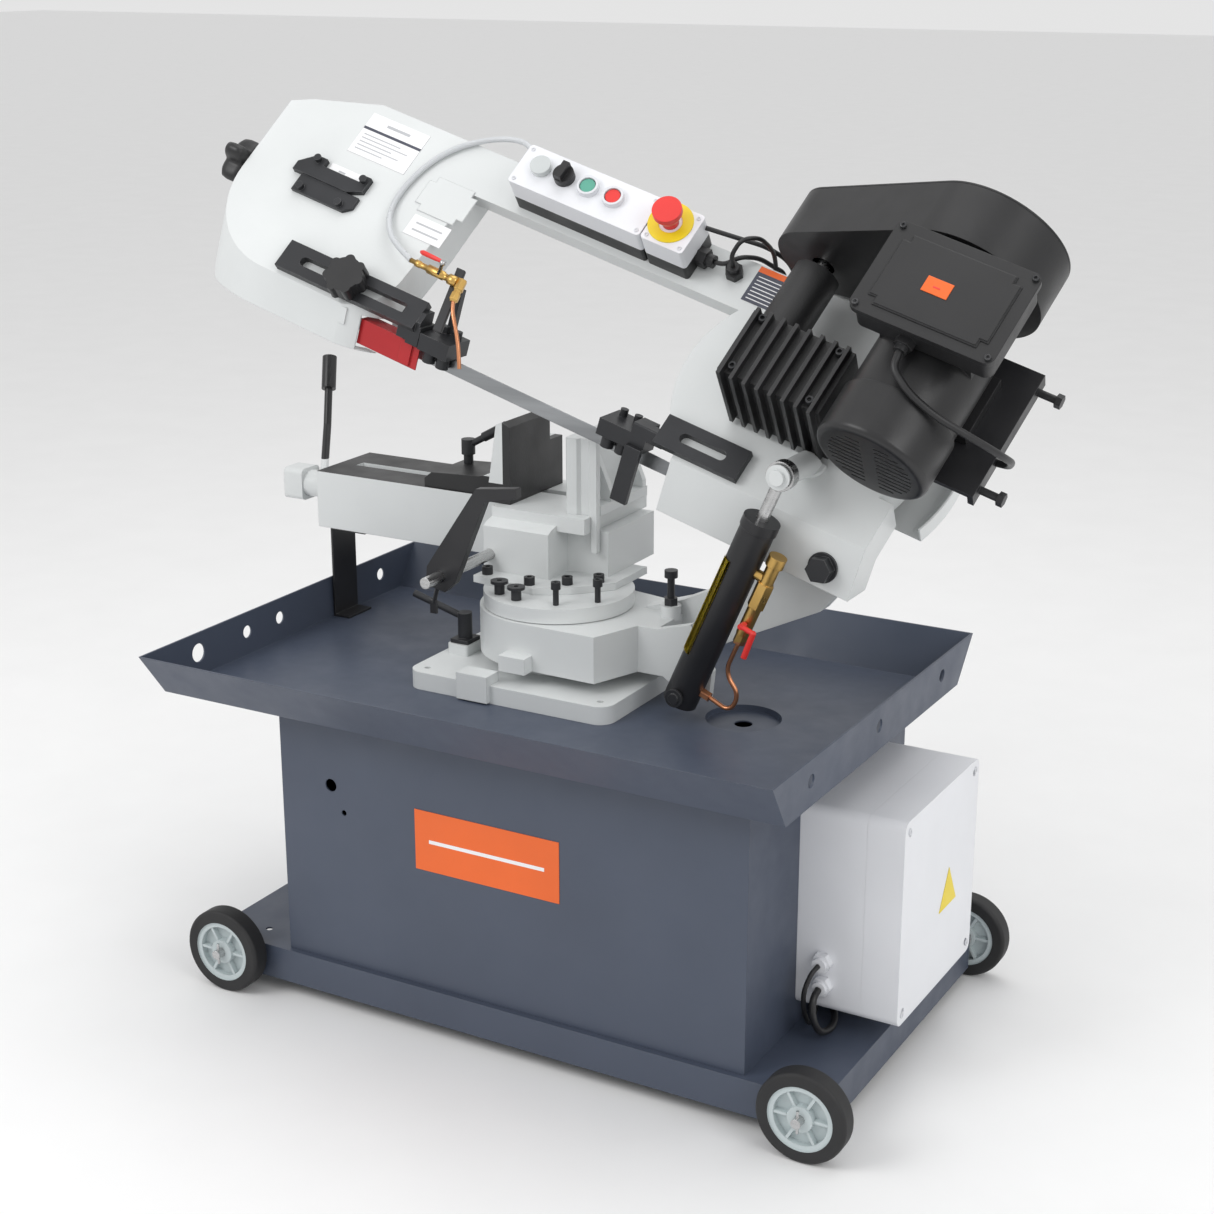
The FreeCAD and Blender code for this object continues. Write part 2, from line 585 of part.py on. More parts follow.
def swivel_arm():
    """Ring round the column, wedge-shaped body and a rising arm to the head's hinge."""
    x, y = SWIVEL
    ring = rod(RING_R, (x, y, ARM_Z[0]), (x, y, ARM_Z[1]))
    body = plate_xy([(x, y - RING_R), (46, -95), (101, 55), (101, 90), (x, y + RING_R)], ARM_Z)
    hx, hz = HINGE_POINT.x, HINGE_POINT.z
    riser = plate_xz([(40, ARM_Z[0]), (101, ARM_Z[0]), (184, 525), (300, 581), (hx + 22, hz - 18),
                      (hx - 6, hz + 26), (282, 650), (150, 590), (101, 566), (40, ARM_Z[1])], ARM_Y)
    boss = rod(28.0, (hx, ARM_Y[0], hz), (hx, ARM_Y[1], hz))
    lug = plate_xz([(60, ARM_Z[0]), (60, ARM_Z[1]), (101, ARM_Z[1]), (150, 560), (182, 500),
                    (178, 462), (140, 462), (110, ARM_Z[0])], (-24.0, -12.0))
    lug_web = box((60, 100), (-24, 56), (ARM_Z[0], ARM_Z[1]))
    stop_boss = rod(14.0, (90, 35, ARM_Z[1] - 4), (90, 35, ARM_Z[1] + 16))
    stop_lug = box((x - 18, x + 22), (y - 128, y - 100), (ARM_Z[0], ARM_Z[0] + 22))
    solid = join([ring, body, riser, boss, lug, lug_web, stop_boss, stop_lug])
    solid = solid.cut(rod(COLUMN_R, (x, y, ARM_Z[0] - 1), (x, y, ARM_Z[1] + 1)))
    solid = solid.cut(rod(HINGE_R, (hx, ARM_Y[0] - 1, hz), (hx, ARM_Y[1] + 1, hz)))
    foot = CYLINDER_FOOT
    solid = solid.cut(rod(7.0, (foot.x, -30.0, foot.z), (foot.x, -5.0, foot.z)))
    return solid.cut(rod(5.0, (90, 35, 500), (90, 35, 570)))


def hinge_shaft():
    """Head pivot: shaft fixed in the arm, with a washer and nut at each end."""
    x, z = HINGE_POINT.x, HINGE_POINT.z
    front = BLADE_POINT.y - 29.2
    shaft = rod(HINGE_R - 0.02, (x, front - 12, z), (x, ARM_Y[1] + 20, z))
    washer = rod(20.0, (x, front - 3.4, z), (x, front - 0.4, z))
    nut = hexagon(30.0, (x, front - 18, z), (x, front - 3.4, z))
    rear = hexagon(30.0, (x, ARM_Y[1], z), (x, ARM_Y[1] + 14, z))
    return join([shaft, washer, nut, rear])


def stop_bolts():
    """Height stop on the arm, with its lock nut, and the cylinder's foot bolt."""
    stop = join([rod(5.0, (90, 35, 505), (90, 35, 606)), hexagon(17.0, (90, 35, 562), (90, 35, 572)),
                 rod(9.0, (90, 35, 600), (90, 35, 610))])
    foot = CYLINDER_FOOT
    bolt = join([rod(7.0, (foot.x, -82, foot.z), (foot.x, -6, foot.z)),
                 rod(12.0, (foot.x, -80, foot.z), (foot.x, -76, foot.z)),
                 hexagon(19.0, (foot.x, -12, foot.z), (foot.x, -3, foot.z))])
    return Part.makeCompound([stop, bolt])


# ---- feed cylinder -----------------------------------------------------------------------

CYLINDER_RUN = CYLINDER_EYE - CYLINDER_FOOT
CYLINDER_DIR = Vector(CYLINDER_RUN).normalize()
BARREL_R = 23.0
BARREL_L = 268.0
ROD_R = 8.0
EYE_CLEARANCE = 6.6


def on_cylinder(distance, side=0.0, front=0.0):
    """A point by distance from the foot pivot, to the right and to the front."""
    right = Vector(CYLINDER_DIR.z, 0, -CYLINDER_DIR.x)
    return CYLINDER_FOOT + CYLINDER_DIR * distance + right * side + Vector(0, -front, 0)


def cylinder_barrel():
    body = rod(BARREL_R, tuple(on_cylinder(-14)), tuple(on_cylinder(BARREL_L)))
    cap = rod(BARREL_R + 1.5, tuple(on_cylinder(BARREL_L - 14)), tuple(on_cylinder(BARREL_L)))
    bore = rod(BARREL_R - 5, tuple(on_cylinder(22)), tuple(on_cylinder(BARREL_L - 12)))
    mouth = rod(ROD_R + RUNNING, tuple(on_cylinder(BARREL_L - 20)), tuple(on_cylinder(BARREL_L + 1)))
    foot = CYLINDER_FOOT
    eye = rod(7.0 + RUNNING, (foot.x, -90, foot.z), (foot.x, -10, foot.z))
    return body.fuse(cap).removeSplitter().cut(bore).cut(mouth).cut(eye)


def cylinder_rod():
    length = CYLINDER_RUN.Length
    shaft = rod(ROD_R, tuple(on_cylinder(120)), tuple(on_cylinder(length - 16)))
    piston = rod(BARREL_R - 5 - RUNNING, tuple(on_cylinder(106)), tuple(on_cylinder(122)))
    eye = CYLINDER_EYE
    ring = rod(19.0, (eye.x, eye.y - 8, eye.z), (eye.x, eye.y + 8, eye.z))
    hole = rod(6.0 + EYE_CLEARANCE, (eye.x, eye.y - 9, eye.z), (eye.x, eye.y + 9, eye.z))
    return join([shaft, piston, ring]).cut(hole)


def feed_valve():
    """Brass flow valve and shut-off beside the barrel, with its copper return pipe."""
    low, high = on_cylinder(118, BARREL_R + 16), on_cylinder(232, BARREL_R + 16)
    body = [rod(9.0, tuple(low), tuple(high)),
            hexagon(20.0, tuple(on_cylinder(160, BARREL_R + 16)),
                    tuple(on_cylinder(196, BARREL_R + 16))),
            rod(12.0, tuple(on_cylinder(222, BARREL_R + 16)), tuple(on_cylinder(236, BARREL_R + 16))),
            rod(7.0, tuple(on_cylinder(200, BARREL_R - 3)), tuple(on_cylinder(200, BARREL_R + 16))),
            hexagon(15.0, tuple(on_cylinder(104, BARREL_R + 16)), tuple(low))]
    valve = join(body)
    route = [on_cylinder(106, BARREL_R + 16), on_cylinder(58, BARREL_R + 16),
             on_cylinder(40, BARREL_R + 46), on_cylinder(12, BARREL_R + 44),
             on_cylinder(14, BARREL_R + 10)]
    pipe = bent_tube(route, 3.0)
    fitting = hexagon(12.0, tuple(on_cylinder(14, BARREL_R - 2)), tuple(on_cylinder(14, BARREL_R + 12)))
    barrel = rod(BARREL_R, tuple(on_cylinder(-14)), tuple(on_cylinder(BARREL_L)))
    return join([valve, pipe, fitting]).cut(barrel)


def feed_valve_lever():
    pivot = on_cylinder(136, BARREL_R + 16, 10.4)
    out = on_cylinder(136, BARREL_R + 34, 10.4)
    end = on_cylinder(100, BARREL_R + 36, 10.4)
    stem = rod(4.0, tuple(pivot), tuple(pivot + Vector(0, -12, 0)))
    drop = Vector(0, -9, 0)
    arm = rod(3.5, tuple(pivot + drop), tuple(out + drop)).fuse(
        rod(4.0, tuple(out + drop), tuple(end + drop)))
    return join([stem, arm, Part.makeSphere(4.0, out + drop)])


# ---- head casting ------------------------------------------------------------------------

def left_lobe(inset, n):
    """Idler end of the head, seen square to its front face."""
    d, p = LOBE
    r = LOBE_R - inset
    half = r / math.sqrt(2)
    i = inset
    points = [(LEFT_D + i, p), ((d - half, p - half), (d, p - r)), (-345 - i * 0.4, p - r),
              ((-305 - i, 26 + i), (-288 - i, 70 + i)), (-278 - i, BEAM_P[0] - 10),
              (-278 - i, BEAM_P[1] - i), (-480 + i * 0.2, BEAM_P[1] - i),
              (-583 + i * 0.6, 266 - i * 0.8), (LEFT_D + i, 250 - i * 0.8)]
    return plate_xy(points, n)


def right_lobe(inset, n):
    d, p = DRIVE
    lobe = rod(RIGHT_LOBE_R - inset, (d, p, n[0]), (d, p, n[1]))
    return lobe.cut(box((d - 200, d + 200), (-100.0, inset), (n[0] - 1, n[1] + 1)))


def hanging_wall(face_fn, inset, top_n, bottom_n):
    solid = face_fn(inset, (top_n, top_n + 1))
    face = [f for f in solid.Faces if abs(f.CenterOfMass.z - top_n) < 1e-6
            and abs(f.normalAt(0, 0).z) > 0.9][0]
    return face.extrude(DOWN * ((top_n - bottom_n) / COS_TILT))


def lower_block(inset, n):
    """Foot of the drive end, down to the head's lower edge and out to the hinge."""
    return box((190.0 + inset, RIGHT_D - inset), (inset, 70.0), n)


def below(level_c, d):
    """A block under a height measured above the blade line."""
    return in_tilt(box(d, (-400.0, 400.0), (level_c - 400.0, level_c)))


def bow_frame():
    full = (REAR_N, FRONT_N)
    beam_front = box((-300.0, 200.0), BEAM_P, (15.0, FRONT_N))
    beam_rear = box((-300.0, 200.0), (255.0, BEAM_P[1]), (REAR_N, 16.0))
    outer = join([left_lobe(0, full), right_lobe(0, full), lower_block(0, full),
                  beam_front, beam_rear, hanging_wall(left_lobe, 0, FRONT_N, REAR_N),
                  hanging_wall(lower_block, 0, FRONT_N, REAR_N)])
    outer = outer.cut(below(-31.0, (-700.0, 0.0))).cut(below(-46.0, (0.0, 600.0)))
    hollow = (REAR_N - 90, WEB_N)
    inner = join([left_lobe(WALL, hollow), right_lobe(WALL, hollow),
                  hanging_wall(left_lobe, WALL, WEB_N, REAR_N - 60),
                  hanging_wall(lower_block, WALL, WEB_N, REAR_N - 60),
                  box((-320.0, 260.0), (261.0, BEAM_P[1] - WALL), hollow)])
    solid = outer.cut(inner)
    hinge_block = in_tilt(box((385.0, RIGHT_D), (-29.0, 28.0), (-46.0, 14.0)))
    hinge_block = hinge_block.cut(rod(RIM_R + 22, (DRIVE[0], DRIVE[1], -60), (DRIVE[0], DRIVE[1], 60)))
    bearing = tube(34.0, 14.0, (DRIVE[0], DRIVE[1], 15.5), (DRIVE[0], DRIVE[1], FRONT_N))
    guide_pad = in_tilt(box((-420.0, -335.0), (-29.2, -20.6), (0.0, 24.0)))
    pad = rod(24.0, (351.0, 76.0, FRONT_N - 2), (351.0, 76.0, FRONT_N + 8))
    pad = pad.cut(box((200.0, 400.0), (77.0, 200.0), (FRONT_N, FRONT_N + 20)))
    eye = head_level.inverse().multVec(CYLINDER_EYE)
    boss = in_tilt(rod(16.0, (eye.x, eye.y + 9.5, eye.z), (eye.x, eye.y + 118, eye.z)))
    boss = boss.common(box((300.0, 420.0), (0.0, 77.0), (FRONT_N - 4, 200.0)))
    pin = in_tilt(join([rod(6.0, (eye.x, eye.y - 14, eye.z), (eye.x, eye.y + 12, eye.z)),
                        rod(16.0, (eye.x, eye.y - 14, eye.z), (eye.x, eye.y - 11, eye.z)),
                        rod(10.0, (eye.x, eye.y - 19, eye.z), (eye.x, eye.y - 14, eye.z))]))
    solid = join([solid, hinge_block, bearing, guide_pad, pad, boss, pin])
    shaft = in_tilt(rod(HINGE_R + RUNNING, (HINGE[0], -60, HINGE[1]), (HINGE[0], 60, HINGE[1])))
    notch = in_tilt(rod(32.0, (HINGE[0], 29.0, HINGE[1]), (HINGE[0], 75, HINGE[1])))
    exits = in_tilt(join([box((-360.0, -270.0), (-19.0, 30.0), (-30.0, 20.0)),
                          box((120.0, 212.0), (-19.0, 30.0), (-50.0, 20.0))]))
    tension_slot = box((LEFT_D - 2, IDLER[0] - 30), (DRIVE[1] - 13, DRIVE[1] + 13), (16.0, WEB_N + 20))
    tension_slot = tension_slot.common(box((LEFT_D - 2, LEFT_D + 12), (0, 300), (0, 29.0)))
    output = rod(14.0, (DRIVE[0], DRIVE[1], 0), (DRIVE[0], DRIVE[1], FRONT_N + 1))
    return solid.cut(join([shaft])).cut(notch).cut(exits).cut(tension_slot).cut(output)


def rear_covers():
    """Sheet covers behind the two blade wheels."""
    idler = left_lobe(1.0, (REAR_N - 2.5, REAR_N - 0.5))
    idler = idler.cut(box((-700, -200), (-50, 58), (-60, 0)))
    d, p = DRIVE
    n = (REAR_N - 34.0, REAR_N - 0.5)
    drum = rod(196.0, (d + 18, p + 6, n[0]), (d + 18, p + 6, n[1]))
    drum = drum.cut(rod(193.5, (d + 18, p + 6, n[0] + 2), (d + 18, p + 6, n[1] + 1)))
    drum = drum.cut(box((0, 700), (-300, 78), (-100, 0)))
    return Part.makeCompound([idler, drum])


# ---- blade, wheels, tension --------------------------------------------------------------

def blade_wheel(centre):
    """Flanged blade wheel: rim, thin web with six windows, hub and bore."""
    d, p = centre
    half = 12.0
    rim = tube(RIM_R, RIM_R - 12, (d, p, -half), (d, p, half))
    web = rod(RIM_R - 10, (d, p, -4), (d, p, 4))
    hub = rod(30.0, (d, p, -14), (d, p, 15))
    flange = tube(RIM_R + 2.0, RIM_R - 4, (d, p, half), (d, p, half + 2))
    solid = join([rim, web, hub, flange])
    for k in range(6):
        a = math.radians(60 * k + 30)
        x, y = d + 78 * math.cos(a), p + 78 * math.sin(a)
        solid = solid.cut(rod(24.0, (x, y, -6), (x, y, 6)))
    return solid.cut(rod(12.5 + RUNNING, (d, p, -20), (d, p, 20)))


def blade_strip(stations):
    """A flat strip; each station is a place along it and its share of the full twist."""
    wires = []
    for along, share in stations:
        a = math.radians(HEAD_TILT * share)
        wide = Vector(0, math.sin(a), math.cos(a)) * (BLADE_W / 2)
        thick = Vector(0, math.cos(a), -math.sin(a)) * (BLADE_T / 2)
        middle = Vector(along, (RIM_R - BLADE_R - BLADE_T / 2) * (1 - share), 0)
        ring = [middle + wide + thick, middle - wide + thick, middle - wide - thick,
                middle + wide - thick]
        wires.append(Part.makePolygon(ring + [ring[0]]))
    return Part.makeLoft(wires, True, True)


def saw_blade():
    """Endless blade: two half turns, a straight return and a twisted working run."""
    half = BLADE_W / 2
    solids = []
    for centre, side in ((DRIVE, 1), (IDLER, -1)):
        d, p = centre
        ring = tube(BLADE_R + BLADE_T, BLADE_R, (d, p, -half), (d, p, half))
        reach = side * 200.0
        keep = box((min(d, d + reach), max(d, d + reach)), (p - 200, p + 200), (-half, half))
        solids.append(ring.common(keep))
    top = DRIVE[1] + BLADE_R
    solids.append(box((IDLER[0], DRIVE[0]), (top, top + BLADE_T), (-half, half)))
    twists = [(IDLER[0], 0.0), (IDLER[0] + 14.0, 0.0), (-380.0, 0.3), (-320.0, 0.7), (-262.0, 1.0),
              (152.0, 1.0), (200.0, 0.7), (250.0, 0.3), (DRIVE[0] - 14.0, 0.0), (DRIVE[0], 0.0)]
    for start, end in zip(twists, twists[1:]):
        solids.append(blade_strip([start, end]))
    return join(solids)


def tension_slide():
    """Carriage behind the front web that carries the idler's axle."""
    d, p = IDLER
    block = box((d - 46, d + 40), (p - 30, p + 30), (17.0, 31.4))
    axle = rod(12.5, (d, p, -16), (d, p, 18))
    cap = rod(17.0, (d, p, -19.5), (d, p, -16))
    nose = box((d - 70, d - 44), (p - 11, p + 11), (17.0, 28.0))
    bore = rod(5.0 + GAP, (d - 80, p, 22.5), (d - 50, p, 22.5))
    return join([block, axle, cap, nose]).cut(bore)


def tension_knob():
    """Star knob, and the screw set in its face that pulls the idler outwards."""
    p = DRIVE[1]
    d = LEFT_D
    collar = rod(6.5, (d - 8, p, 22.5), (d - 1, p, 22.5))
    screw = join([collar, rod(5.0, (d - 2, p, 22.5), (IDLER[0] - 54, p, 22.5))])
    hub = rod(16.0, (d - 36, p, 22.5), (d - 8, p, 22.5))
    arms = []
    for k in range(3):
        a = math.radians(120 * k + 90)
        end = (d - 26, p + 30 * math.cos(a), 22.5 + 30 * math.sin(a))
        arms.append(rod(8.5, (d - 26, p, 22.5), end))
        arms.append(Part.makeSphere(8.5, Vector(*end)))
    return Part.makeCompound([screw, join([hub] + arms)])


def tracking_plates():
    """Dark plates on the front face that guide and set the idler's lean."""
    n = FRONT_N + 0.05
    lower = plate_xy([(-520, 122), (-430, 122), (-418, 132), (-418, 150), (-520, 150)], (n, n + 6))
    upper = plate_xy([(-536, 150), (-440, 150), (-418, 160), (-418, 184), (-432, 184), (-432, 172),
                      (-496, 172), (-496, 184), (-514, 184), (-536, 164)], (n, n + 9))
    solids = [join([lower, upper])]
    for d, p, top in ((-508, 178, 16), (-426, 176, 16), (-508, 130, 13), (-440, 130, 13)):
        head = rod(5.5, (d, p, n + 9), (d, p, n + top)) if top == 16 else rod(5.5, (d, p, n + 6),
                                                                            (d, p, n + top))
        solids.append(head)
    return Part.makeCompound(solids)


# ---- blade guides ------------------------------------------------------------------------

def slotted_bar(d, slot):
    bar = box(d, (6.0, 50.0), (FRONT_N + 0.5, FRONT_N + 12.5))
    p = 28.0
    cut = box(slot, (p - 7, p + 7), (FRONT_N - 5, FRONT_N + 20))
    ends = [rod(7.0, (s, p, FRONT_N - 5), (s, p, FRONT_N + 20)) for s in slot]
    return bar.cut(join([cut] + ends))


def guide_bearings(d, drop):
    """Side bearings either side of the blade and a back bearing over it."""
    solids = []
    for side in (-1, 1):
        back = side * (BLADE_T / 2 + GAP + 9.0)
        for along in (d - 11, d + 11):
            solids.append(tube(9.0, 4.0, (along, back, drop), (along, back, drop + 14)))
    return solids


def guide_head(d):
    block = box((d - 24, d + 24), (-26.0, 26.0), (13.0, 36.0))
    pins = [rod(4.0, (d + s, b * 9.85, -2), (d + s, b * 9.85, 16)) for s in (-11, 11)
            for b in (-1, 1)]
    block = block.cut(box((d - 8, d + 8), (-8.0, 8.0), (12.0, 24.0)))
    back = tube(6.0, 3.0, (d, -6, 17.4), (d, 6, 17.4))
    axle = rod(3.0, (d, -9, 17.4), (d, 9, 17.4))
    bolts = [rod(5.5, (d + s, 12, 36), (d + s, 12, 46)) for s in (-10, 12)]
    return [join([block] + pins + [axle] + bolts), back] + guide_bearings(d, -4.0)


def left_guide():
    """Left guide: slotted bar with its drop arm and bearing head, as separate solids."""
    bar = slotted_bar((-463.0, -225.0), (-425.0, -255.0))
    drop = in_tilt(box((-252.0, -218.0), (-26.0, 4.0), (18.0, 60.0)))
    drop = drop.common(box((-260, -200), (-60, 100), (-60, FRONT_N + 12)))
    link = in_tilt(box((-236.0, -216.0), (-26.0, 10.0), (14.1, 42.0)))
    head = guide_head(-191.0)
    head[0] = join([head[0], box((-200.0, -190.0), (14.0, 24.0), (36.0, 100.0))])
    return Part.makeCompound([join([bar, drop, link])] + [in_tilt(s) for s in head])


def blade_guard():
    """Red cover in front of the blade beside the left guide."""
    front = box((-318.0, -217.0), (-14.5, -12.5), (-22.0, 12.0))
    top = box((-318.0, -217.0), (-14.5, 10.0), (12.0, 14.0))
    clip = box((-246.0, -228.0), (-17.5, -14.5), (-20.0, 14.0))
    return join([front, top, clip])


def right_guide():
    """Right guide: slotted bar, arm and bearing head, as separate solids."""
    bar = slotted_bar((160.0, 283.0), (196.0, 250.0))
    arm = in_tilt(box((124.0, 172.0), (-26.0, 4.0), (14.0, 50.0)))
    arm = arm.common(box((100, 172), (-60, 100), (-60, FRONT_N + 12)))
    arm = arm.cut(box((148, 300), (-60, 100), (-60, FRONT_N + 0.5)))
    bar = join([bar, arm])
    head = [in_tilt(s) for s in guide_head(100.0)]
    brush_leg = in_tilt(box((124.3, 148.0), (-34.0, -27.0), (-58.0, 20.0)))
    return Part.makeCompound([bar] + head + [brush_leg])


def guide_clamp_knob():
    """Lobed knob that locks the left guide, on its stud."""
    d, p = -348.0, 28.0
    low = FRONT_N + 13.0
    stud = rod(5.0, (d, p, FRONT_N + 0.1), (d, p, low + 4))
    solids = [rod(26.0, (d, p, low), (d, p, low + 22)), stud]
    for k in range(7):
        a = math.radians(360.0 / 7 * k)
        x, y = d + 23 * math.cos(a), p + 23 * math.sin(a)
        solids.append(rod(7.5, (x, y, low), (x, y, low + 22)))
    return join(solids)


# ---- controls ----------------------------------------------------------------------------

PANEL_D = (-206.0, 72.0)
PANEL_P = (238.0, 302.0)
PANEL_TOP = FRONT_N + 62.0
PANEL_SPLIT = 6.0
BUTTON_P = 274.0
BUTTONS_D = {"lamp": -172.0, "selector": -134.0, "start": -96.0, "stop": -56.0, "emergency": 34.0}


def control_box():
    """Two switch boxes in line on the beam, with openings for the buttons."""
    solids = []
    for d in ((PANEL_D[0], PANEL_SPLIT - 1), (PANEL_SPLIT + 1, PANEL_D[1])):
        shell = round_box(d, PANEL_P, (FRONT_N + 0.05, PANEL_TOP), 5.0)
        inner = box((d[0] + 3, d[1] - 3), (PANEL_P[0] + 3, PANEL_P[1] - 3),
                    (FRONT_N + 3, PANEL_TOP - 3))
        shell = shell.cut(inner)
        for name, at in BUTTONS_D.items():
            if d[0] < at < d[1] and name != "lamp":
                shell = shell.cut(rod(11.0, (at, BUTTON_P, PANEL_TOP - 5),
                                      (at, BUTTON_P, PANEL_TOP + 1)))
        solids.append(shell)
    lamp = rod(14.5, (BUTTONS_D["lamp"], BUTTON_P, PANEL_TOP), (BUTTONS_D["lamp"], BUTTON_P,
                                                               PANEL_TOP + 9))
    ring = BUTTONS_D["emergency"]
    label = tube(31.0, 16.0, (ring, BUTTON_P, PANEL_TOP), (ring, BUTTON_P, PANEL_TOP + 1.2))
    solids += [lamp, label]
    for name in ("start", "stop"):
        at = BUTTONS_D[name]
        solids.append(tube(15.0, 11.5, (at, BUTTON_P, PANEL_TOP), (at, BUTTON_P, PANEL_TOP + 8)))
    gland = join([hexagon(24.0, (PANEL_D[1], 270.0, 54.0), (PANEL_D[1] + 14, 270.0, 54.0)),
                  rod(9.0, (PANEL_D[1] + 14, 270.0, 54.0), (PANEL_D[1] + 24, 270.0, 54.0))])
    beam_gland = join([hexagon(22.0, (124.0, 272.0, FRONT_N), (124.0, 272.0, FRONT_N + 12)),
                       rod(8.5, (124.0, 272.0, FRONT_N + 12), (124.0, 272.0, FRONT_N + 20))])
    return Part.makeCompound(solids + [gland, beam_gland])


def push_button(name, proud):
    at = BUTTONS_D[name]
    return rod(11.0 - 0.5, (at, BUTTON_P, PANEL_TOP - 12), (at, BUTTON_P, PANEL_TOP + proud))


def emergency_button():
    at = BUTTONS_D["emergency"]
    stem = rod(10.5, (at, BUTTON_P, PANEL_TOP - 12), (at, BUTTON_P, PANEL_TOP + 14))
    cone = Part.makeCone(14.0, 20.0, 12.0, Vector(at, BUTTON_P, PANEL_TOP + 12), Z_AXIS)
    cap = rod(20.0, (at, BUTTON_P, PANEL_TOP + 24), (at, BUTTON_P, PANEL_TOP + 32))
    return join([stem, cone, cap])


def selector_switch():
    at = BUTTONS_D["selector"]
    stem = rod(10.5, (at, BUTTON_P, PANEL_TOP - 12), (at, BUTTON_P, PANEL_TOP + 1))
    collar = rod(14.5, (at, BUTTON_P, PANEL_TOP + 0.5), (at, BUTTON_P, PANEL_TOP + 12))
    wing = box((at - 5, at + 5), (BUTTON_P - 13, BUTTON_P + 13), (PANEL_TOP + 12, PANEL_TOP + 22))
    return join([stem, collar, wing])


# ---- drive -------------------------------------------------------------------------------

def gearbox():
    """Finned housing of the worm drive, bolted to the drive end of the head."""
    d = (226.0, 370.0)
    p = (88.0, 180.0)
    top = 172.0
    outer = box(d, p, (FRONT_N, top - 12))
    fins = []
    for k in range(8):
        at = d[0] + 6 + k * 18.2
        fins.append(box((at, at + 5), (p[0] - 10, p[1]), (FRONT_N + 6, top)))
    neck = rod(31.0, (WORM[0], p[1] - 2, WORM[1]), (WORM[0], 284.0, WORM[1]))
    solid = join([outer, neck] + fins)
    cavity = rod(38.0, (DRIVE[0], DRIVE[1], FRONT_N + 14), (DRIVE[0], DRIVE[1], 140.0))
    worm_bore = rod(16.0, (WORM[0], p[0] + 6, WORM[1]), (WORM[0], p[1] + 6, WORM[1]))
    shaft_bore = rod(10.5, (WORM[0], p[0] + 6, WORM[1]), (WORM[0], 290.0, WORM[1]))
    output = rod(14.0, (DRIVE[0], DRIVE[1], FRONT_N - 1), (DRIVE[0], DRIVE[1], FRONT_N + 20))
    return solid.cut(join([cavity, worm_bore, shaft_bore, output]))


def worm_wheel():
    """Thirty-tooth wheel on the output shaft that carries the drive wheel."""
    d, p = DRIVE
    solid = join([rod(34.6, (d, p, WORM[1] - 11), (d, p, WORM[1] + 11)),
                  rod(12.5, (d, p, -18), (d, p, WORM[1] + 24)),
                  rod(18.0, (d, p, -20), (d, p, -16))])
    grooves = []
    for k in range(WORM_TEETH):
        a = 2 * math.pi * k / WORM_TEETH
        x, y = d + 36.0 * math.cos(a), p + 36.0 * math.sin(a)
        grooves.append(rod(2.2, (x, y, WORM[1] - 12), (x, y, WORM[1] + 12)))
    return solid.cut(Part.makeCompound(grooves))


def worm_shaft():
    """Worm, its shaft, two bearings and the stepped pulley."""
    d, n = WORM
    shaft = rod(9.0, (d, 96.0, n), (d, 362.0, n))
    worm = rod(14.0, (d, 112.0, n), (d, 168.0, n))
    pulley = [rod(radius, (d, low, n), (d, low + 15, n))
              for radius, low in ((WORM_PULLEY_R, 310.0), (42.0, 325.0), (34.0, 340.0))]
    groove = tube(WORM_PULLEY_R + 1, WORM_PULLEY_R - GROOVE, (d, BELT_P[0], n), (d, BELT_P[1], n))
    return join([shaft, worm] + pulley).cut(groove)


def motor():
    """Motor shell with feet, fan cowl and shaft boss; hollow for the rotor."""
    d, n = MOTOR
    body = rod(MOTOR_R - 4, (d, 110.0, n), (d, 282.0, n))
    cowl = rod(MOTOR_R, (d, 42.0, n), (d, 112.0, n))
    cowl = cowl.makeFillet(9.0, [e for e in cowl.Edges if e.CenterOfMass.y < 43.0 and len(e.Vertexes) == 1])
    bell = rod(MOTOR_R - 8, (d, 282.0, n), (d, 294.0, n))
    feet = box((d - 66, d + 66), (150.0, 240.0), (112.2, 128.0))
    neck = box((d - 58, d + 62), (178.0, 276.0), (n + 30, 264.0))
    solid = join([body, cowl, bell, feet, neck])
    hollow = rod(MOTOR_R - 12, (d, 50.0, n), (d, 276.0, n))
    bore = rod(9.5, (d, 270.0, n), (d, 300.0, n))
    solid = solid.cut(hollow).cut(bore)
    for k in range(-5, 6):
        half = math.sqrt(max(56.0 ** 2 - (k * 9.6) ** 2, 100.0))
        slot = box((d - half, d + half), (40.0, 52.0), (n + k * 9.6 - 1.6, n + k * 9.6 + 1.6))
        solid = solid.cut(slot.cut(box((d - 9, d + 9), (39.0, 53.0), (n - 70, n + 70))))
    return solid


def motor_rotor():
    d, n = MOTOR
    shaft = rod(9.0, (d, 60.0, n), (d, 360.0, n))
    core = rod(42.0, (d, 130.0, n), (d, 232.0, n))
    fan = rod(20.0, (d, 66.0, n), (d, 82.0, n))
    blades = []
    for k in range(6):
        blade = box((18.0, 56.0), (0.0, 16.0), (-1.5, 1.5))
        blade.Placement = Placement(Vector(d, 66.0, n), Rotation(Y_AXIS, 60.0 * k))
        blades.append(blade)
    pulley = [rod(radius, (d, low, n), (d, low + 15, n))
              for radius, low in ((MOTOR_PULLEY_R, 310.0), (42.0, 325.0), (50.0, 340.0))]
    groove = tube(MOTOR_PULLEY_R + 1, MOTOR_PULLEY_R - GROOVE, (d, BELT_P[0], n), (d, BELT_P[1], n))
    return join([shaft, core, fan] + blades + pulley).cut(groove)


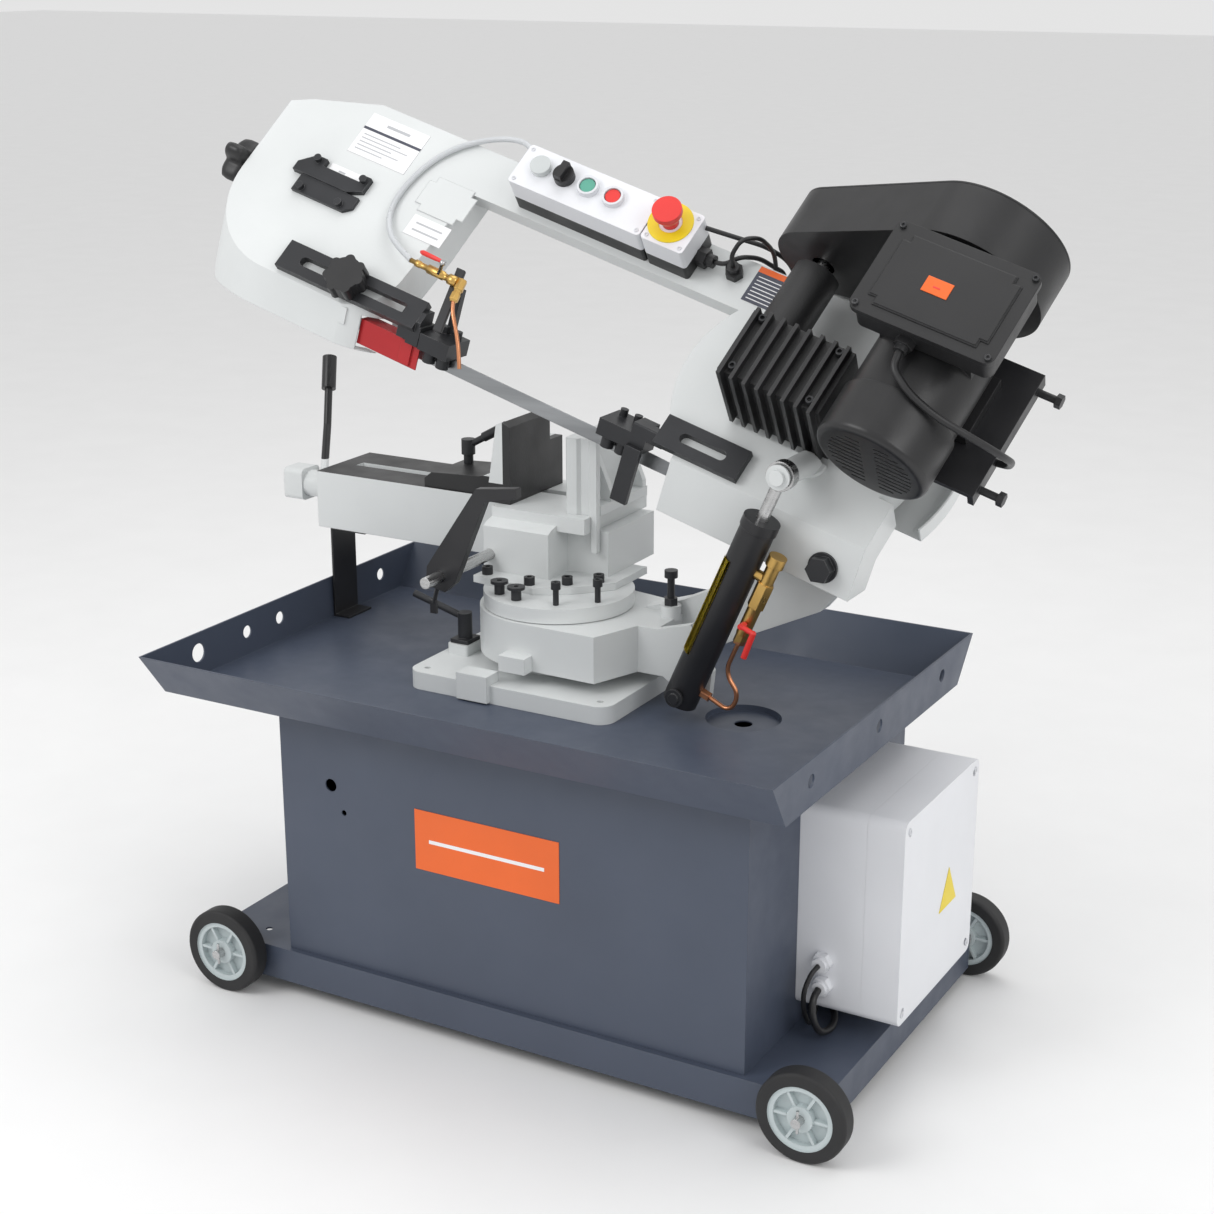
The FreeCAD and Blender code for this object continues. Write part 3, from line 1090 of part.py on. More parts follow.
def loop_outline(p, left, right, shrink=0.0):
    """The outline of a loop round two circles, each given as along, out and radius."""
    (d0, n0, r0), (d1, n1, r1) = left, right
    ends = [rod(r0 - shrink, (d0, p[0], n0), (d0, p[1], n0)),
            rod(r1 - shrink, (d1, p[0], n1), (d1, p[1], n1))]
    lean = math.atan2(n1 - n0, d1 - d0)
    swing = math.asin((r1 - r0) / math.hypot(d1 - d0, n1 - n0))
    corners = []
    for (d, n, r), side in ((left, 1), (right, 1), (right, -1), (left, -1)):
        a = lean + side * (math.pi / 2 + swing)
        corners.append((d + (r - shrink) * math.cos(a), n + (r - shrink) * math.sin(a)))
    return join(ends + [plate_xz(corners, p)])


def drive_belt():
    ends = (WORM + (WORM_PULLEY_R,), MOTOR + (MOTOR_PULLEY_R,))
    outer = loop_outline((BELT_P[0] + 0.3, BELT_P[1] - 0.3), *ends)
    inner = loop_outline((BELT_P[0] - 1, BELT_P[1] + 1), *ends, GROOVE - GAP)
    return outer.cut(inner)


def cover_hinge_point(along, out):
    """A point on the line beside the belt cover's lower straight side."""
    (d0, n0, r0), (d1, n1, r1) = COVER_LEFT, COVER_RIGHT
    spread = math.hypot(d1 - d0, n1 - n0)
    a = math.atan2(n1 - n0, d1 - d0) - math.asin((r1 - r0) / spread)
    reach = r0 + out
    return Vector(d0 + reach * math.sin(a) + along * math.cos(a), COVER_P[1] + 0.25,
                  n0 - reach * math.cos(a) + along * math.sin(a))


def hinge_leaf(along, out, p):
    """Flat leaf from a knuckle onto the belt cover or its door."""
    corners = [(along[0], out[0]), (along[1], out[0]), (along[1], out[1]), (along[0], out[1])]
    ring = [cover_hinge_point(*corner) for corner in corners]
    face = Part.Face(Part.makePolygon(ring + [ring[0]]))
    face.translate(Vector(0, p[0] - ring[0].y, 0))
    return face.extrude(Vector(0, p[1] - p[0], 0))


def knuckle(radius, along):
    return rod(radius, cover_hinge_point(along[0], HINGE_OUT), cover_hinge_point(along[1], HINGE_OUT))


def belt_cover():
    """Deep rounded cover round both pulleys, closed towards the motor."""
    outer = loop_outline(COVER_P, COVER_LEFT, COVER_RIGHT)
    inner = loop_outline((COVER_P[0] + SHEET, COVER_P[1] + 1), COVER_LEFT, COVER_RIGHT, SHEET)
    shell = outer.cut(inner)
    for (d, n), radius in ((WORM, 16.0), (MOTOR, 24.0)):
        shell = shell.cut(rod(radius, (d, COVER_P[0] - 1, n), (d, COVER_P[0] + 4, n)))
    solids = [shell, knuckle(PIN_R, (60.0, 141.0))]
    for along in ((60.0, 80.0), (121.0, 141.0)):
        solids.append(knuckle(KNUCKLE_R, along))
        solids.append(hinge_leaf(along, (-0.5, 3.0), (COVER_P[1] - 12, COVER_P[1])))
    return join(solids)


def belt_cover_door():
    inside = COVER_P[1] + 0.5
    along = (80.5, 120.5)
    door = loop_outline((inside, inside + SHEET), COVER_LEFT, COVER_RIGHT)
    leaf = hinge_leaf(along, (-3.0, HINGE_OUT), (inside, inside + SHEET))
    solid = join([door, leaf, knuckle(KNUCKLE_R, along)])
    return solid.cut(knuckle(PIN_R + RUNNING, (80.0, 121.0)))


def motor_plate():
    """Adjustable plate under the motor with two tension bolts on its right edge."""
    plate = box((396.0, 574.0), (92.0, 276.0), (104.0, 112.0))
    legs = [box((396.0, 452.0), (p, p + 12), (FRONT_N, 104.0)) for p in (112.0, 236.0)]
    lip = box((566.0, 574.0), (92.0, 276.0), (88.0, 104.0))
    solids = [join([plate, lip] + legs)]
    for p in (110.0, 258.0):
        solids.append(rod(5.0, (574.0, p, 98.0), (604.0, p, 98.0)).fuse(
            hexagon(16.0, (598.0, p, 98.0), (606.0, p, 98.0))))
    return Part.makeCompound(solids)


def terminal_box():
    body = round_box((384.0, 562.0), (166.0, 288.0), (264.3, 298.0), 12.0)
    inner = round_box((387.0, 559.0), (169.0, 285.0), (267.0, 297.0), 10.0)
    lid = round_box((380.0, 566.0), (162.0, 292.0), (298.0, 306.0), 12.0)
    gland = join([hexagon(22.0, (455.0, 156.0, 276.0), (455.0, 166.0, 276.0)),
                  rod(8.5, (455.0, 149.0, 276.0), (455.0, 156.0, 276.0))])
    return Part.makeCompound([body.cut(inner), lid, gland])


def bow_cables():
    """Cables held along the head: the motor's lead and three control leads."""
    lead = [(455, 149, 276), (458, 128, 275), (488, 110, 268), (524, 104, 253), (560, 108, 232),
            (590, 116, 204), (602, 128, 170), (600, 142, 136), (592, 149, 108), (574, 151, 97)]
    looped = [(124, 272, 60), (124, 274, 84), (134, 290, 106), (150, 307, 96), (161, 315, 62),
              (164, 310, 30), (163, 300, 14)]
    gland = [(96, 270, 54), (110, 273, 54), (124, 290, 57), (142, 306, 44), (162, 309, 30),
             (176, 311, 22), (178, 300, 10)]
    corner = [(72, 296, 84), (92, 300, 80), (118, 308, 70), (148, 318, 58), (176, 322, 38),
              (192, 314, 18), (193, 300, 6)]
    return Part.makeCompound([cable(lead, 4.5), cable(looped, 3.0), cable(gland, 3.2),
                              cable(corner, 3.2)])


# ---- build -------------------------------------------------------------------------------

WHEELS = {"wheel_front_left": (-WHEEL_X, -WHEEL_Y), "wheel_front_right": (WHEEL_X, -WHEEL_Y),
          "wheel_rear_left": (-WHEEL_X, WHEEL_Y), "wheel_rear_right": (WHEEL_X, WHEEL_Y)}

PLAIN = [base_pan, axles, cabinet, tray, electrical_box, box_cables, electrical_box_lid, swivel_base,
         vise_turntable, turntable_screws, vise_base, vise_bed, bed_leg, fixed_jaw, movable_jaw,
         jaw_lock_lever, vise_screw, vise_crank, work_stop_rod, work_stop_arm, swivel_lock_lever,
         swivel_arm, hinge_shaft, stop_bolts, cylinder_barrel, cylinder_rod, feed_valve,
         feed_valve_lever]
ON_HEAD_TILTED = [bow_frame, rear_covers, saw_blade, tension_slide, tension_knob,
                  tracking_plates, left_guide, right_guide, guide_clamp_knob, control_box,
                  emergency_button, selector_switch, gearbox, worm_wheel, worm_shaft, motor,
                  motor_rotor, drive_belt, belt_cover, belt_cover_door, motor_plate, terminal_box,
                  bow_cables]
ON_HEAD_LEVEL = [blade_guard]

for make in PLAIN:
    add(make.__name__, make())
for name, centre in WHEELS.items():
    add(name, wheel(*centre))
for make in ON_HEAD_TILTED:
    add(make.__name__, tilted(make()))
for make in ON_HEAD_LEVEL:
    add(make.__name__, level(make()))
add("drive_wheel", tilted(blade_wheel(DRIVE)))
add("idler_wheel", tilted(blade_wheel(IDLER)))
add("start_button", tilted(push_button("start", 6.0)))
add("stop_button", tilted(push_button("stop", 6.0)))


def end_flush(name, others):
    """Cuts a set of cables back to the faces of the parts that they enter."""
    solids = []
    for solid in parts[name].Solids:
        for other in others:
            solid = max(solid.cut(parts[other]).Solids, key=lambda piece: piece.Volume)
        solids.append(solid)
    parts[name] = Part.makeCompound(solids)


end_flush("bow_cables", ["bow_frame", "motor_plate", "control_box", "terminal_box"])
end_flush("box_cables", ["cabinet", "electrical_box"])

bounds = FreeCAD.BoundBox()
for shape in parts.values():
    bounds.add(shape.optimalBoundingBox(False))
ORIGIN = Vector((bounds.XMin + bounds.XMax) / 2, (bounds.YMin + bounds.YMax) / 2, 0)

for name, shape in parts.items():
    shape.translate(ORIGIN * -1)
    if not shape.isValid():
        print("not valid:", name)
    shape.exportStep("parts/" + name + ".step")
print(len(parts), "parts; origin at", ORIGIN, "lowest point", bounds.ZMin)
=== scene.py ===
import json
import math

import bmesh
import bpy
from mathutils import Euler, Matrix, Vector


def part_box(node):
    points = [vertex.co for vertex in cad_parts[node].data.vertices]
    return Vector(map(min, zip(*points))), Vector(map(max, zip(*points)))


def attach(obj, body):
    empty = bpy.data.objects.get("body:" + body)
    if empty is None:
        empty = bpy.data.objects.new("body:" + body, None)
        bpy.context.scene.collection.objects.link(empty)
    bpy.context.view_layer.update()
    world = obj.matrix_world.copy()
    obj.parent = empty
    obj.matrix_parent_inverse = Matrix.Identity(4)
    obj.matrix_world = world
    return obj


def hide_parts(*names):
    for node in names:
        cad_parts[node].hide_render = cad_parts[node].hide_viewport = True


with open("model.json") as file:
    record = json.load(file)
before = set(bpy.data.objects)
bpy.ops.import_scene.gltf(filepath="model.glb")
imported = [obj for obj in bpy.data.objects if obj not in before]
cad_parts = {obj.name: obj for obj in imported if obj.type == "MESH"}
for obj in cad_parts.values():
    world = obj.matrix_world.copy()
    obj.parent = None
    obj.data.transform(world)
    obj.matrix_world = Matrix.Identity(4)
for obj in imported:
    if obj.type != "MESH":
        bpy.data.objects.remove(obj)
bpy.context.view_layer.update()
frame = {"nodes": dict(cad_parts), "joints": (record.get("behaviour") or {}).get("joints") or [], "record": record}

MM = 0.001
RIGHT = Vector((1, 0, 0))
FORWARD = Vector((0, -1, 0))
HIGH = Vector((0, 0, 1))

# ---- the head's own directions: along the blade, up its tilted front, out of the front ----

joints = {joint["name"]: joint for joint in frame["joints"]}
bodies = frame["record"]["behaviour"]["bodies"]
ALONG = -Vector(joints["tension_slide_move"]["axis"]).normalized()
if ALONG.x < 0:
    ALONG = -ALONG
OUT = Vector(joints["drive_wheel_spin"]["axis"]).normalized()
UP = OUT.cross(ALONG)
DRIVE = Vector(joints["drive_wheel_spin"]["pos_m"])
ORIGIN = DRIVE - 300 * MM * ALONG - 140 * MM * UP
KNOB_UP, KNOB_OUT = 140.0, 22.5    # the tension screw's own line
FRONT = 40.0                       # face of the head's castings
PANEL_TOP = 102.0                  # face of the control box
PANEL_EDGE = FRONT + 26.0          # where its pale lid meets its dark back
BUTTON_UP = 274.0
LAMP_ALONG, STOP_ALONG = -172.0, 34.0
TERMINAL_TOP = 306.0               # face of the motor's terminal box


def head(along, up, out):
    """A point given in millimetres in the head's own directions."""
    return ORIGIN + (ALONG * along + UP * up + OUT * out) * MM


def head_place(point):
    """The same three numbers, in millimetres, for a point in the frame."""
    offset = (point - ORIGIN) / MM
    return offset.dot(ALONG), offset.dot(UP), offset.dot(OUT)


# ---- materials ---------------------------------------------------------------------------

def surface(name, colour, rough, metallic=0.0, blotch=0.05, grain=0.0, grain_size=700.0,
            edge=0.0, edge_colour=(0.6, 0.6, 0.6), streak=None, transmission=0.0, coat=0.0):
    """A procedural finish: uneven colour, worn edges, uneven gloss and a fine texture."""
    material = bpy.data.materials.new(name)
    material.use_nodes = True
    nodes = material.node_tree.nodes
    links = material.node_tree.links
    shader = nodes["Principled BSDF"]
    shader.inputs["Metallic"].default_value = metallic
    shader.inputs["Transmission Weight"].default_value = transmission
    shader.inputs["Coat Weight"].default_value = coat
    coords = nodes.new("ShaderNodeTexCoord")
    source = coords.outputs["Object"]
    if streak:
        stretch = nodes.new("ShaderNodeMapping")
        stretch.inputs["Scale"].default_value = streak
        links.new(source, stretch.inputs["Vector"])
        source = stretch.outputs["Vector"]

    def noise(scale, detail):
        node = nodes.new("ShaderNodeTexNoise")
        node.inputs["Scale"].default_value = scale
        node.inputs["Detail"].default_value = detail
        links.new(source, node.inputs["Vector"])
        return node.outputs["Fac"]

    def spread(value, low, high, start=0.3, end=0.7):
        node = nodes.new("ShaderNodeMapRange")
        node.inputs["From Min"].default_value = start
        node.inputs["From Max"].default_value = end
        node.inputs["To Min"].default_value = low
        node.inputs["To Max"].default_value = high
        links.new(value, node.inputs["Value"])
        return node.outputs["Result"]

    def mixed(factor, first, second):
        node = nodes.new("ShaderNodeMix")
        node.data_type = "RGBA"
        links.new(factor, node.inputs["Factor"])
        for socket, value in ((node.inputs[6], first), (node.inputs[7], second)):
            if isinstance(value, tuple):
                socket.default_value = (*value, 1.0)
            else:
                links.new(value, socket)
        return node.outputs[2]

    clouds = noise(7.0, 4.0)
    specks = noise(95.0, 3.0)
    dark = tuple(c * (1.0 - blotch) for c in colour)
    light = tuple(min(1.0, c * (1.0 + blotch)) for c in colour)
    shade = mixed(spread(clouds, 0.0, 1.0), dark, light)
    shade = mixed(spread(specks, 0.0, 0.35, 0.62, 0.8), shade, dark)
    normal = nodes.new("ShaderNodeBevel")
    normal.samples = 4
    normal.inputs["Radius"].default_value = 1.2 * MM
    if edge:
        geometry = nodes.new("ShaderNodeNewGeometry")
        facing = nodes.new("ShaderNodeVectorMath")
        facing.operation = "DOT_PRODUCT"
        links.new(normal.outputs["Normal"], facing.inputs[0])
        links.new(geometry.outputs["Normal"], facing.inputs[1])
        worn = spread(facing.outputs["Value"], edge, 0.0, 0.86, 0.985)
        patchy = nodes.new("ShaderNodeMath")
        patchy.operation = "MULTIPLY"
        links.new(worn, patchy.inputs[0])
        links.new(spread(noise(38.0, 4.0), 0.0, 1.0, 0.42, 0.66), patchy.inputs[1])
        shade = mixed(patchy.outputs["Value"], shade, edge_colour)
    links.new(shade, shader.inputs["Base Color"])
    links.new(spread(noise(24.0, 3.0), rough - 0.06, rough + 0.07), shader.inputs["Roughness"])
    bump = nodes.new("ShaderNodeBump")
    bump.inputs["Strength"].default_value = grain
    bump.inputs["Distance"].default_value = 0.4 * MM
    links.new(noise(grain_size, 2.0), bump.inputs["Height"])
    links.new(normal.outputs["Normal"], bump.inputs["Normal"])
    links.new(bump.outputs["Normal"], shader.inputs["Normal"])
    return material


BARE = (0.30, 0.30, 0.30)
FINISH = {
    "stand_paint": surface("stand_paint", (0.060, 0.074, 0.108), 0.42, grain=0.16,
                           grain_size=900.0, edge=0.35, edge_colour=(0.14, 0.16, 0.20)),
    "casting_paint": surface("casting_paint", (0.66, 0.68, 0.68), 0.34, blotch=0.03, grain=0.20,
                             grain_size=260.0, edge=0.25, edge_colour=(0.78, 0.79, 0.79)),
    "black_paint": surface("black_paint", (0.014, 0.014, 0.016), 0.38, blotch=0.18, grain=0.15,
                           edge=0.25, edge_colour=BARE),
    "tyre_rubber": surface("tyre_rubber", (0.016, 0.016, 0.017), 0.62, blotch=0.2, grain=0.3),
    "wheel_hub": surface("wheel_hub", (0.50, 0.56, 0.57), 0.42, blotch=0.05, grain=0.12),
    "black_iron": surface("black_iron", (0.028, 0.029, 0.032), 0.40, metallic=0.35, blotch=0.2,
                          grain=0.18, edge=0.5, edge_colour=BARE),
    "black_plastic": surface("black_plastic", (0.013, 0.013, 0.014), 0.40, blotch=0.15,
                             grain=0.25, grain_size=1100.0),
    "grey_plastic": surface("grey_plastic", (0.66, 0.67, 0.70), 0.42, blotch=0.03, grain=0.15,
                            grain_size=1200.0),
    "white_plastic": surface("white_plastic", (0.76, 0.77, 0.80), 0.36, blotch=0.025,
                             grain=0.12, grain_size=1200.0),
    "steel": surface("steel", (0.55, 0.55, 0.55), 0.26, metallic=1.0, blotch=0.12, grain=0.12,
                     streak=(1.0, 1.0, 14.0)),
    "blade_steel": surface("blade_steel", (0.30, 0.31, 0.32), 0.34, metallic=1.0, blotch=0.2,
                           grain=0.2, streak=(0.3, 6.0, 6.0)),
    "brass": surface("brass", (0.60, 0.38, 0.12), 0.32, metallic=1.0, blotch=0.25, grain=0.2,
                     edge=0.6, edge_colour=(0.80, 0.58, 0.26)),
    "copper": surface("copper", (0.62, 0.27, 0.14), 0.30, metallic=1.0, blotch=0.2, grain=0.1),
    "red_paint": surface("red_paint", (0.42, 0.012, 0.016), 0.32, blotch=0.12, grain=0.12,
                         edge=0.2, edge_colour=(0.6, 0.1, 0.1)),
    "red_plastic": surface("red_plastic", (0.72, 0.035, 0.03), 0.36, blotch=0.06, grain=0.1),
    "green_plastic": surface("green_plastic", (0.10, 0.36, 0.27), 0.38, blotch=0.06, grain=0.1),
    "motor_paint": surface("motor_paint", (0.014, 0.014, 0.015), 0.36, blotch=0.2, grain=0.2,
                           grain_size=500.0, edge=0.2, edge_colour=BARE),
    "cast_aluminium": surface("cast_aluminium", (0.020, 0.020, 0.021), 0.42, blotch=0.25,
                              grain=0.6, grain_size=420.0, edge=0.3, edge_colour=BARE),
    "belt_rubber": surface("belt_rubber", (0.02, 0.02, 0.02), 0.6, blotch=0.2, grain=0.3),
    "bronze": surface("bronze", (0.45, 0.26, 0.10), 0.34, metallic=1.0, blotch=0.2, grain=0.2),
    "black_face": surface("black_face", (0.018, 0.018, 0.019), 0.46, blotch=0.25, grain=0.4,
                          grain_size=380.0, edge=0.5, edge_colour=BARE),
    "yellow_label": surface("yellow_label", (0.80, 0.62, 0.02), 0.38, blotch=0.05, grain=0.05),
    "orange_label": surface("orange_label", (0.80, 0.13, 0.015), 0.34, blotch=0.05, grain=0.05),
    "white_label": surface("white_label", (0.84, 0.84, 0.85), 0.32, blotch=0.02, grain=0.05),
    "dark_print": surface("dark_print", (0.06, 0.065, 0.09), 0.4, blotch=0.1, grain=0.05),
    "grey_print": surface("grey_print", (0.45, 0.46, 0.48), 0.4, blotch=0.1, grain=0.05),
    "clear_lamp": surface("clear_lamp", (0.80, 0.84, 0.84), 0.18, blotch=0.03, grain=0.1,
                          transmission=0.35, coat=0.5),
    "hose_plastic": surface("hose_plastic", (0.66, 0.68, 0.70), 0.3, blotch=0.05, grain=0.08,
                            transmission=0.25),
}

# ---- finishes on the CAD parts -------------------------------------------------------------

def body_of(node):
    """The name of the body that a node belongs to."""
    for body, members in bodies.items():
        if node in members:
            return body
    return "root"


def part_finish(node, names, pick, cuts=()):
    """A copy of a CAD part whose faces take one of several finishes by where they are.

    The faces are first divided at each cut, a plane given as a point and a direction."""
    mesh = frame["nodes"][node].data.copy()
    bm = bmesh.new()
    bm.from_mesh(mesh)
    for point, direction in cuts:
        everything = list(bm.verts) + list(bm.edges) + list(bm.faces)
        bmesh.ops.bisect_plane(bm, geom=everything, plane_co=point, plane_no=direction)
    bm.to_mesh(mesh)
    bm.free()
    mesh.materials.clear()
    for name in names:
        mesh.materials.append(FINISH[name])
    for polygon in mesh.polygons:
        polygon.material_index = pick(polygon.center, polygon.normal)
    piece = bpy.data.objects.new(node + "_finished", mesh)
    bpy.context.scene.collection.objects.link(piece)
    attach(piece, body_of(node))
    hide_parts(node)
    return piece


NODE_FINISH = {
    "base_pan": "stand_paint", "axles": "steel", "cabinet": "stand_paint", "tray": "stand_paint",
    "electrical_box": "white_plastic", "electrical_box_lid": "white_plastic",
    "swivel_base": "casting_paint", "vise_turntable": "casting_paint",
    "turntable_screws": "black_iron", "vise_base": "casting_paint", "bed_leg": "black_paint",
    "fixed_jaw": "casting_paint", "jaw_lock_lever": "black_iron", "vise_screw": "steel",
    "work_stop_rod": "steel", "work_stop_arm": "black_paint", "swivel_lock_lever": "black_iron",
    "swivel_arm": "casting_paint", "hinge_shaft": "black_iron", "stop_bolts": "black_iron",
    "cylinder_barrel": "black_paint", "cylinder_rod": "steel", "feed_valve_lever": "red_plastic",
    "bow_frame": "casting_paint", "rear_covers": "casting_paint", "saw_blade": "blade_steel",
    "tension_slide": "black_iron", "tension_knob": "black_plastic",
    "tracking_plates": "black_iron", "left_guide": "black_iron", "right_guide": "black_iron",
    "guide_clamp_knob": "black_plastic", "blade_guard": "red_paint",
    "selector_switch": "black_plastic", "start_button": "green_plastic",
    "stop_button": "red_plastic", "gearbox": "cast_aluminium", "worm_wheel": "bronze",
    "worm_shaft": "steel", "motor": "motor_paint", "motor_rotor": "steel",
    "drive_belt": "belt_rubber", "belt_cover": "black_plastic",
    "belt_cover_door": "black_plastic", "motor_plate": "black_paint",
    "terminal_box": "black_plastic", "drive_wheel": "black_iron", "idler_wheel": "black_iron",
    "box_cables": "black_plastic", "bow_cables": "black_plastic",
    "emergency_button": "red_plastic", "control_box": "white_plastic",
    "vise_bed": "casting_paint", "movable_jaw": "casting_paint", "feed_valve": "brass",
    "vise_crank": "casting_paint", "wheel_front_left": "tyre_rubber",
    "wheel_front_right": "tyre_rubber", "wheel_rear_left": "tyre_rubber",
    "wheel_rear_right": "tyre_rubber",
}
for node, thing in frame["nodes"].items():
    finish = FINISH[NODE_FINISH[node]]
    if not thing.data.materials:
        thing.data.materials.append(finish)
    for material_slot in thing.material_slots:
        material_slot.material = finish

HUB_R = 43.2 * MM
BED_TOP = 640 * MM
JAW_FOOT = 690 * MM
JAW_PLATE = 12 * MM
PIPE_TOP = 560 * MM
GRIP_FOOT = 655 * MM
jaw_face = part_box("movable_jaw")[1][0] - JAW_PLATE


def tyre_or_hub(centre):
    """Picks the tyre beyond the hub's radius and the hub within it."""
    def pick(place, normal):
        return 0 if math.hypot(place.x - centre.x, place.z - centre.z) > HUB_R else 1

    return pick


def bed_faces(place, normal):
    return 1 if normal.z > 0.7 and place.z > BED_TOP else 0


def jaw_faces(place, normal):
    return 1 if place.x > jaw_face or place.z < JAW_FOOT else 0


def panel_faces(place, normal):
    """Lid, dark back, lamp, the emergency stop's yellow ring and the button collars."""
    along, up, out = head_place(place)
    if out > PANEL_TOP + 0.3:
        if abs(along - LAMP_ALONG) < 15:
            return 2
        return 3 if math.hypot(along - STOP_ALONG, up - BUTTON_UP) < 32 else 4
    return 0 if out > PANEL_EDGE and along < 72.5 else 1


def valve_faces(place, normal):
    return 1 if place.z < PIPE_TOP else 0


def crank_faces(place, normal):
    return 0 if place.z < GRIP_FOOT else 1


for wheel in ("front_left", "front_right", "rear_left", "rear_right"):
    wheel_centre = Vector(joints["wheel_" + wheel + "_spin"]["pos_m"])
    part_finish("wheel_" + wheel, ("tyre_rubber", "wheel_hub"), tyre_or_hub(wheel_centre))
part_finish("vise_bed", ("casting_paint", "black_face"), bed_faces)
part_finish("movable_jaw", ("casting_paint", "black_face"), jaw_faces,
            [(RIGHT * jaw_face, RIGHT), (HIGH * JAW_FOOT, HIGH)])
part_finish("control_box", ("white_plastic", "black_plastic", "clear_lamp", "yellow_label",
                            "grey_plastic"), panel_faces,
            [(head(0, 0, PANEL_EDGE), OUT)])
part_finish("feed_valve", ("brass", "copper"), valve_faces, [(HIGH * PIPE_TOP, HIGH)])
part_finish("vise_crank", ("casting_paint", "black_plastic"), crank_faces,
            [(HIGH * GRIP_FOOT, HIGH)])


# ---- detail pieces -----------------------------------------------------------------------

def made(name, bm):
    """The mesh of a finished bmesh, with every face turned outwards."""
    bmesh.ops.recalc_face_normals(bm, faces=bm.faces)
    mesh = bpy.data.meshes.new(name)
    bm.to_mesh(mesh)
    bm.free()
    return mesh


def add_piece(name, data, body, finishes):
    """Adds a mesh or a curve as a piece that rides a body."""
    piece = bpy.data.objects.new(name, data)
    bpy.context.scene.collection.objects.link(piece)
    for finish in finishes:
        data.materials.append(FINISH[finish])
    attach(piece, body)
    return piece


def circle(bm, centre, side_a, side_b, sides):
    """A ring of vertices; the two sides are the circle's radii, at right angles."""
    turns = [2 * math.pi * k / sides for k in range(sides)]
    return [bm.verts.new(centre + side_a * math.cos(a) + side_b * math.sin(a)) for a in turns]


def skin(bm, rings):
    """Joins each ring to the next and closes both ends."""
    for low, high in zip(rings, rings[1:]):
        for k in range(len(low)):
            j = (k + 1) % len(low)
            bm.faces.new((low[k], low[j], high[j], high[k]))
    bm.faces.new(rings[0][::-1])
    bm.faces.new(rings[-1])


def slab(bm, corners, thickness, material=0):
    """A thin plate: four corners and their shared outward direction times a thickness."""
    low = [bm.verts.new(corner) for corner in corners]
    high = [bm.verts.new(corner + thickness) for corner in corners]
    faces = [bm.faces.new(low[::-1]), bm.faces.new(high)]
    for k in range(4):
        faces.append(bm.faces.new((low[k], low[(k + 1) % 4], high[(k + 1) % 4], high[k])))
    for face in faces:
        face.material_index = material


PLATE_T = 0.6
PRINT_T = 0.15


def label(name, body, corners, out, finishes, marks):
    """A plate with strips in place of print: each mark is (left, low, right, high, finish)."""
    bm = bmesh.new()
    plate = out * PLATE_T * MM
    slab(bm, corners, plate)
    start, wide, tall = corners[0], corners[1] - corners[0], corners[3] - corners[0]
    for left, low, right, high, finish in marks:
        strip = [start + wide * x + tall * y + plate
                 for x, y in ((left, low), (right, low), (right, high), (left, high))]
        slab(bm, strip, out * PRINT_T * MM, finish)
    return add_piece(name, made(name, bm), body, finishes)


def head_label(name, box_mm, finishes, marks, out=FRONT + 0.05):
    """A label on a face of the head; its box is (left, low, right, high)."""
    left, low, right, high = box_mm
    corners = [head(left, low, out), head(right, low, out), head(right, high, out),
               head(left, high, out)]
    return label(name, "bow", corners, OUT, finishes, marks)


TEXT_ROWS = [(0.07, 0.12 + 0.09 * k, 0.55 + 0.08 * ((k * 3) % 5), 0.145 + 0.09 * k, 2)
             for k in range(5)]
head_label("spec_label", (-485.0, 213.0, -385.0, 283.0), ("white_label", "dark_print",
                                                         "grey_print"),
           TEXT_ROWS + [(0.0, 0.60, 1.0, 0.66, 1), (0.32, 0.80, 0.72, 0.86, 2)])
head_label("small_label", (-332.0, 133.0, -269.0, 166.0), ("white_label", "grey_print"),
           [(0.15, 0.28, 0.85, 0.36, 1), (0.15, 0.62, 0.85, 0.70, 1)])
head_label("tracking_label", (-492.0, 172.5, -436.0, 186.0), ("white_label", "grey_print"),
           [(0.3, 0.3, 0.5, 0.5, 1)])
LINES = [(0.06, 0.08 + 0.105 * k, 0.90 + 0.03 * (k % 2), 0.105 + 0.105 * k, 2)
         for k in range(7)]
head_label("notice_label", (150.0, 243.0, 229.0, 298.0), ("dark_print", "orange_label",
                                                       "white_label"),
           LINES + [(0.0, 0.84, 1.0, 1.0, 1)])
head_label("terminal_label", (448.0, 215.0, 481.0, 236.0), ("orange_label", "red_plastic"),
           [(0.35, 0.4, 0.62, 0.5, 1)], out=TERMINAL_TOP + 3.1)

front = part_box("cabinet")[0][1] - 0.05 * MM
front_plate = [Vector((x, front, z)) for x, z in ((-0.095, 0.240), (0.125, 0.240),
                                                  (0.125, 0.325), (-0.095, 0.325))]
label("front_plate", "stand", front_plate, FORWARD, ("orange_label", "white_label"),
      [(0.10, 0.47, 0.90, 0.53, 1)])

lid_low, lid_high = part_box("electrical_box_lid")


def triangle_sign(left, right, low, high):
    """A plain yellow triangle on the electrical box's lid."""
    side = lid_high.x + 0.05 * MM
    corners = [Vector((side, left, low)), Vector((side, right, low)),
               Vector((side, (left + right) / 2, high))]
    bm = bmesh.new()
    skin(bm, [[bm.verts.new(corner) for corner in corners],
              [bm.verts.new(corner + RIGHT * PLATE_T * MM) for corner in corners]])
    add_piece("yellow_triangle", made("yellow_triangle", bm), "stand", ("yellow_label",))


triangle_sign(0.052, 0.112, 0.205, 0.259)


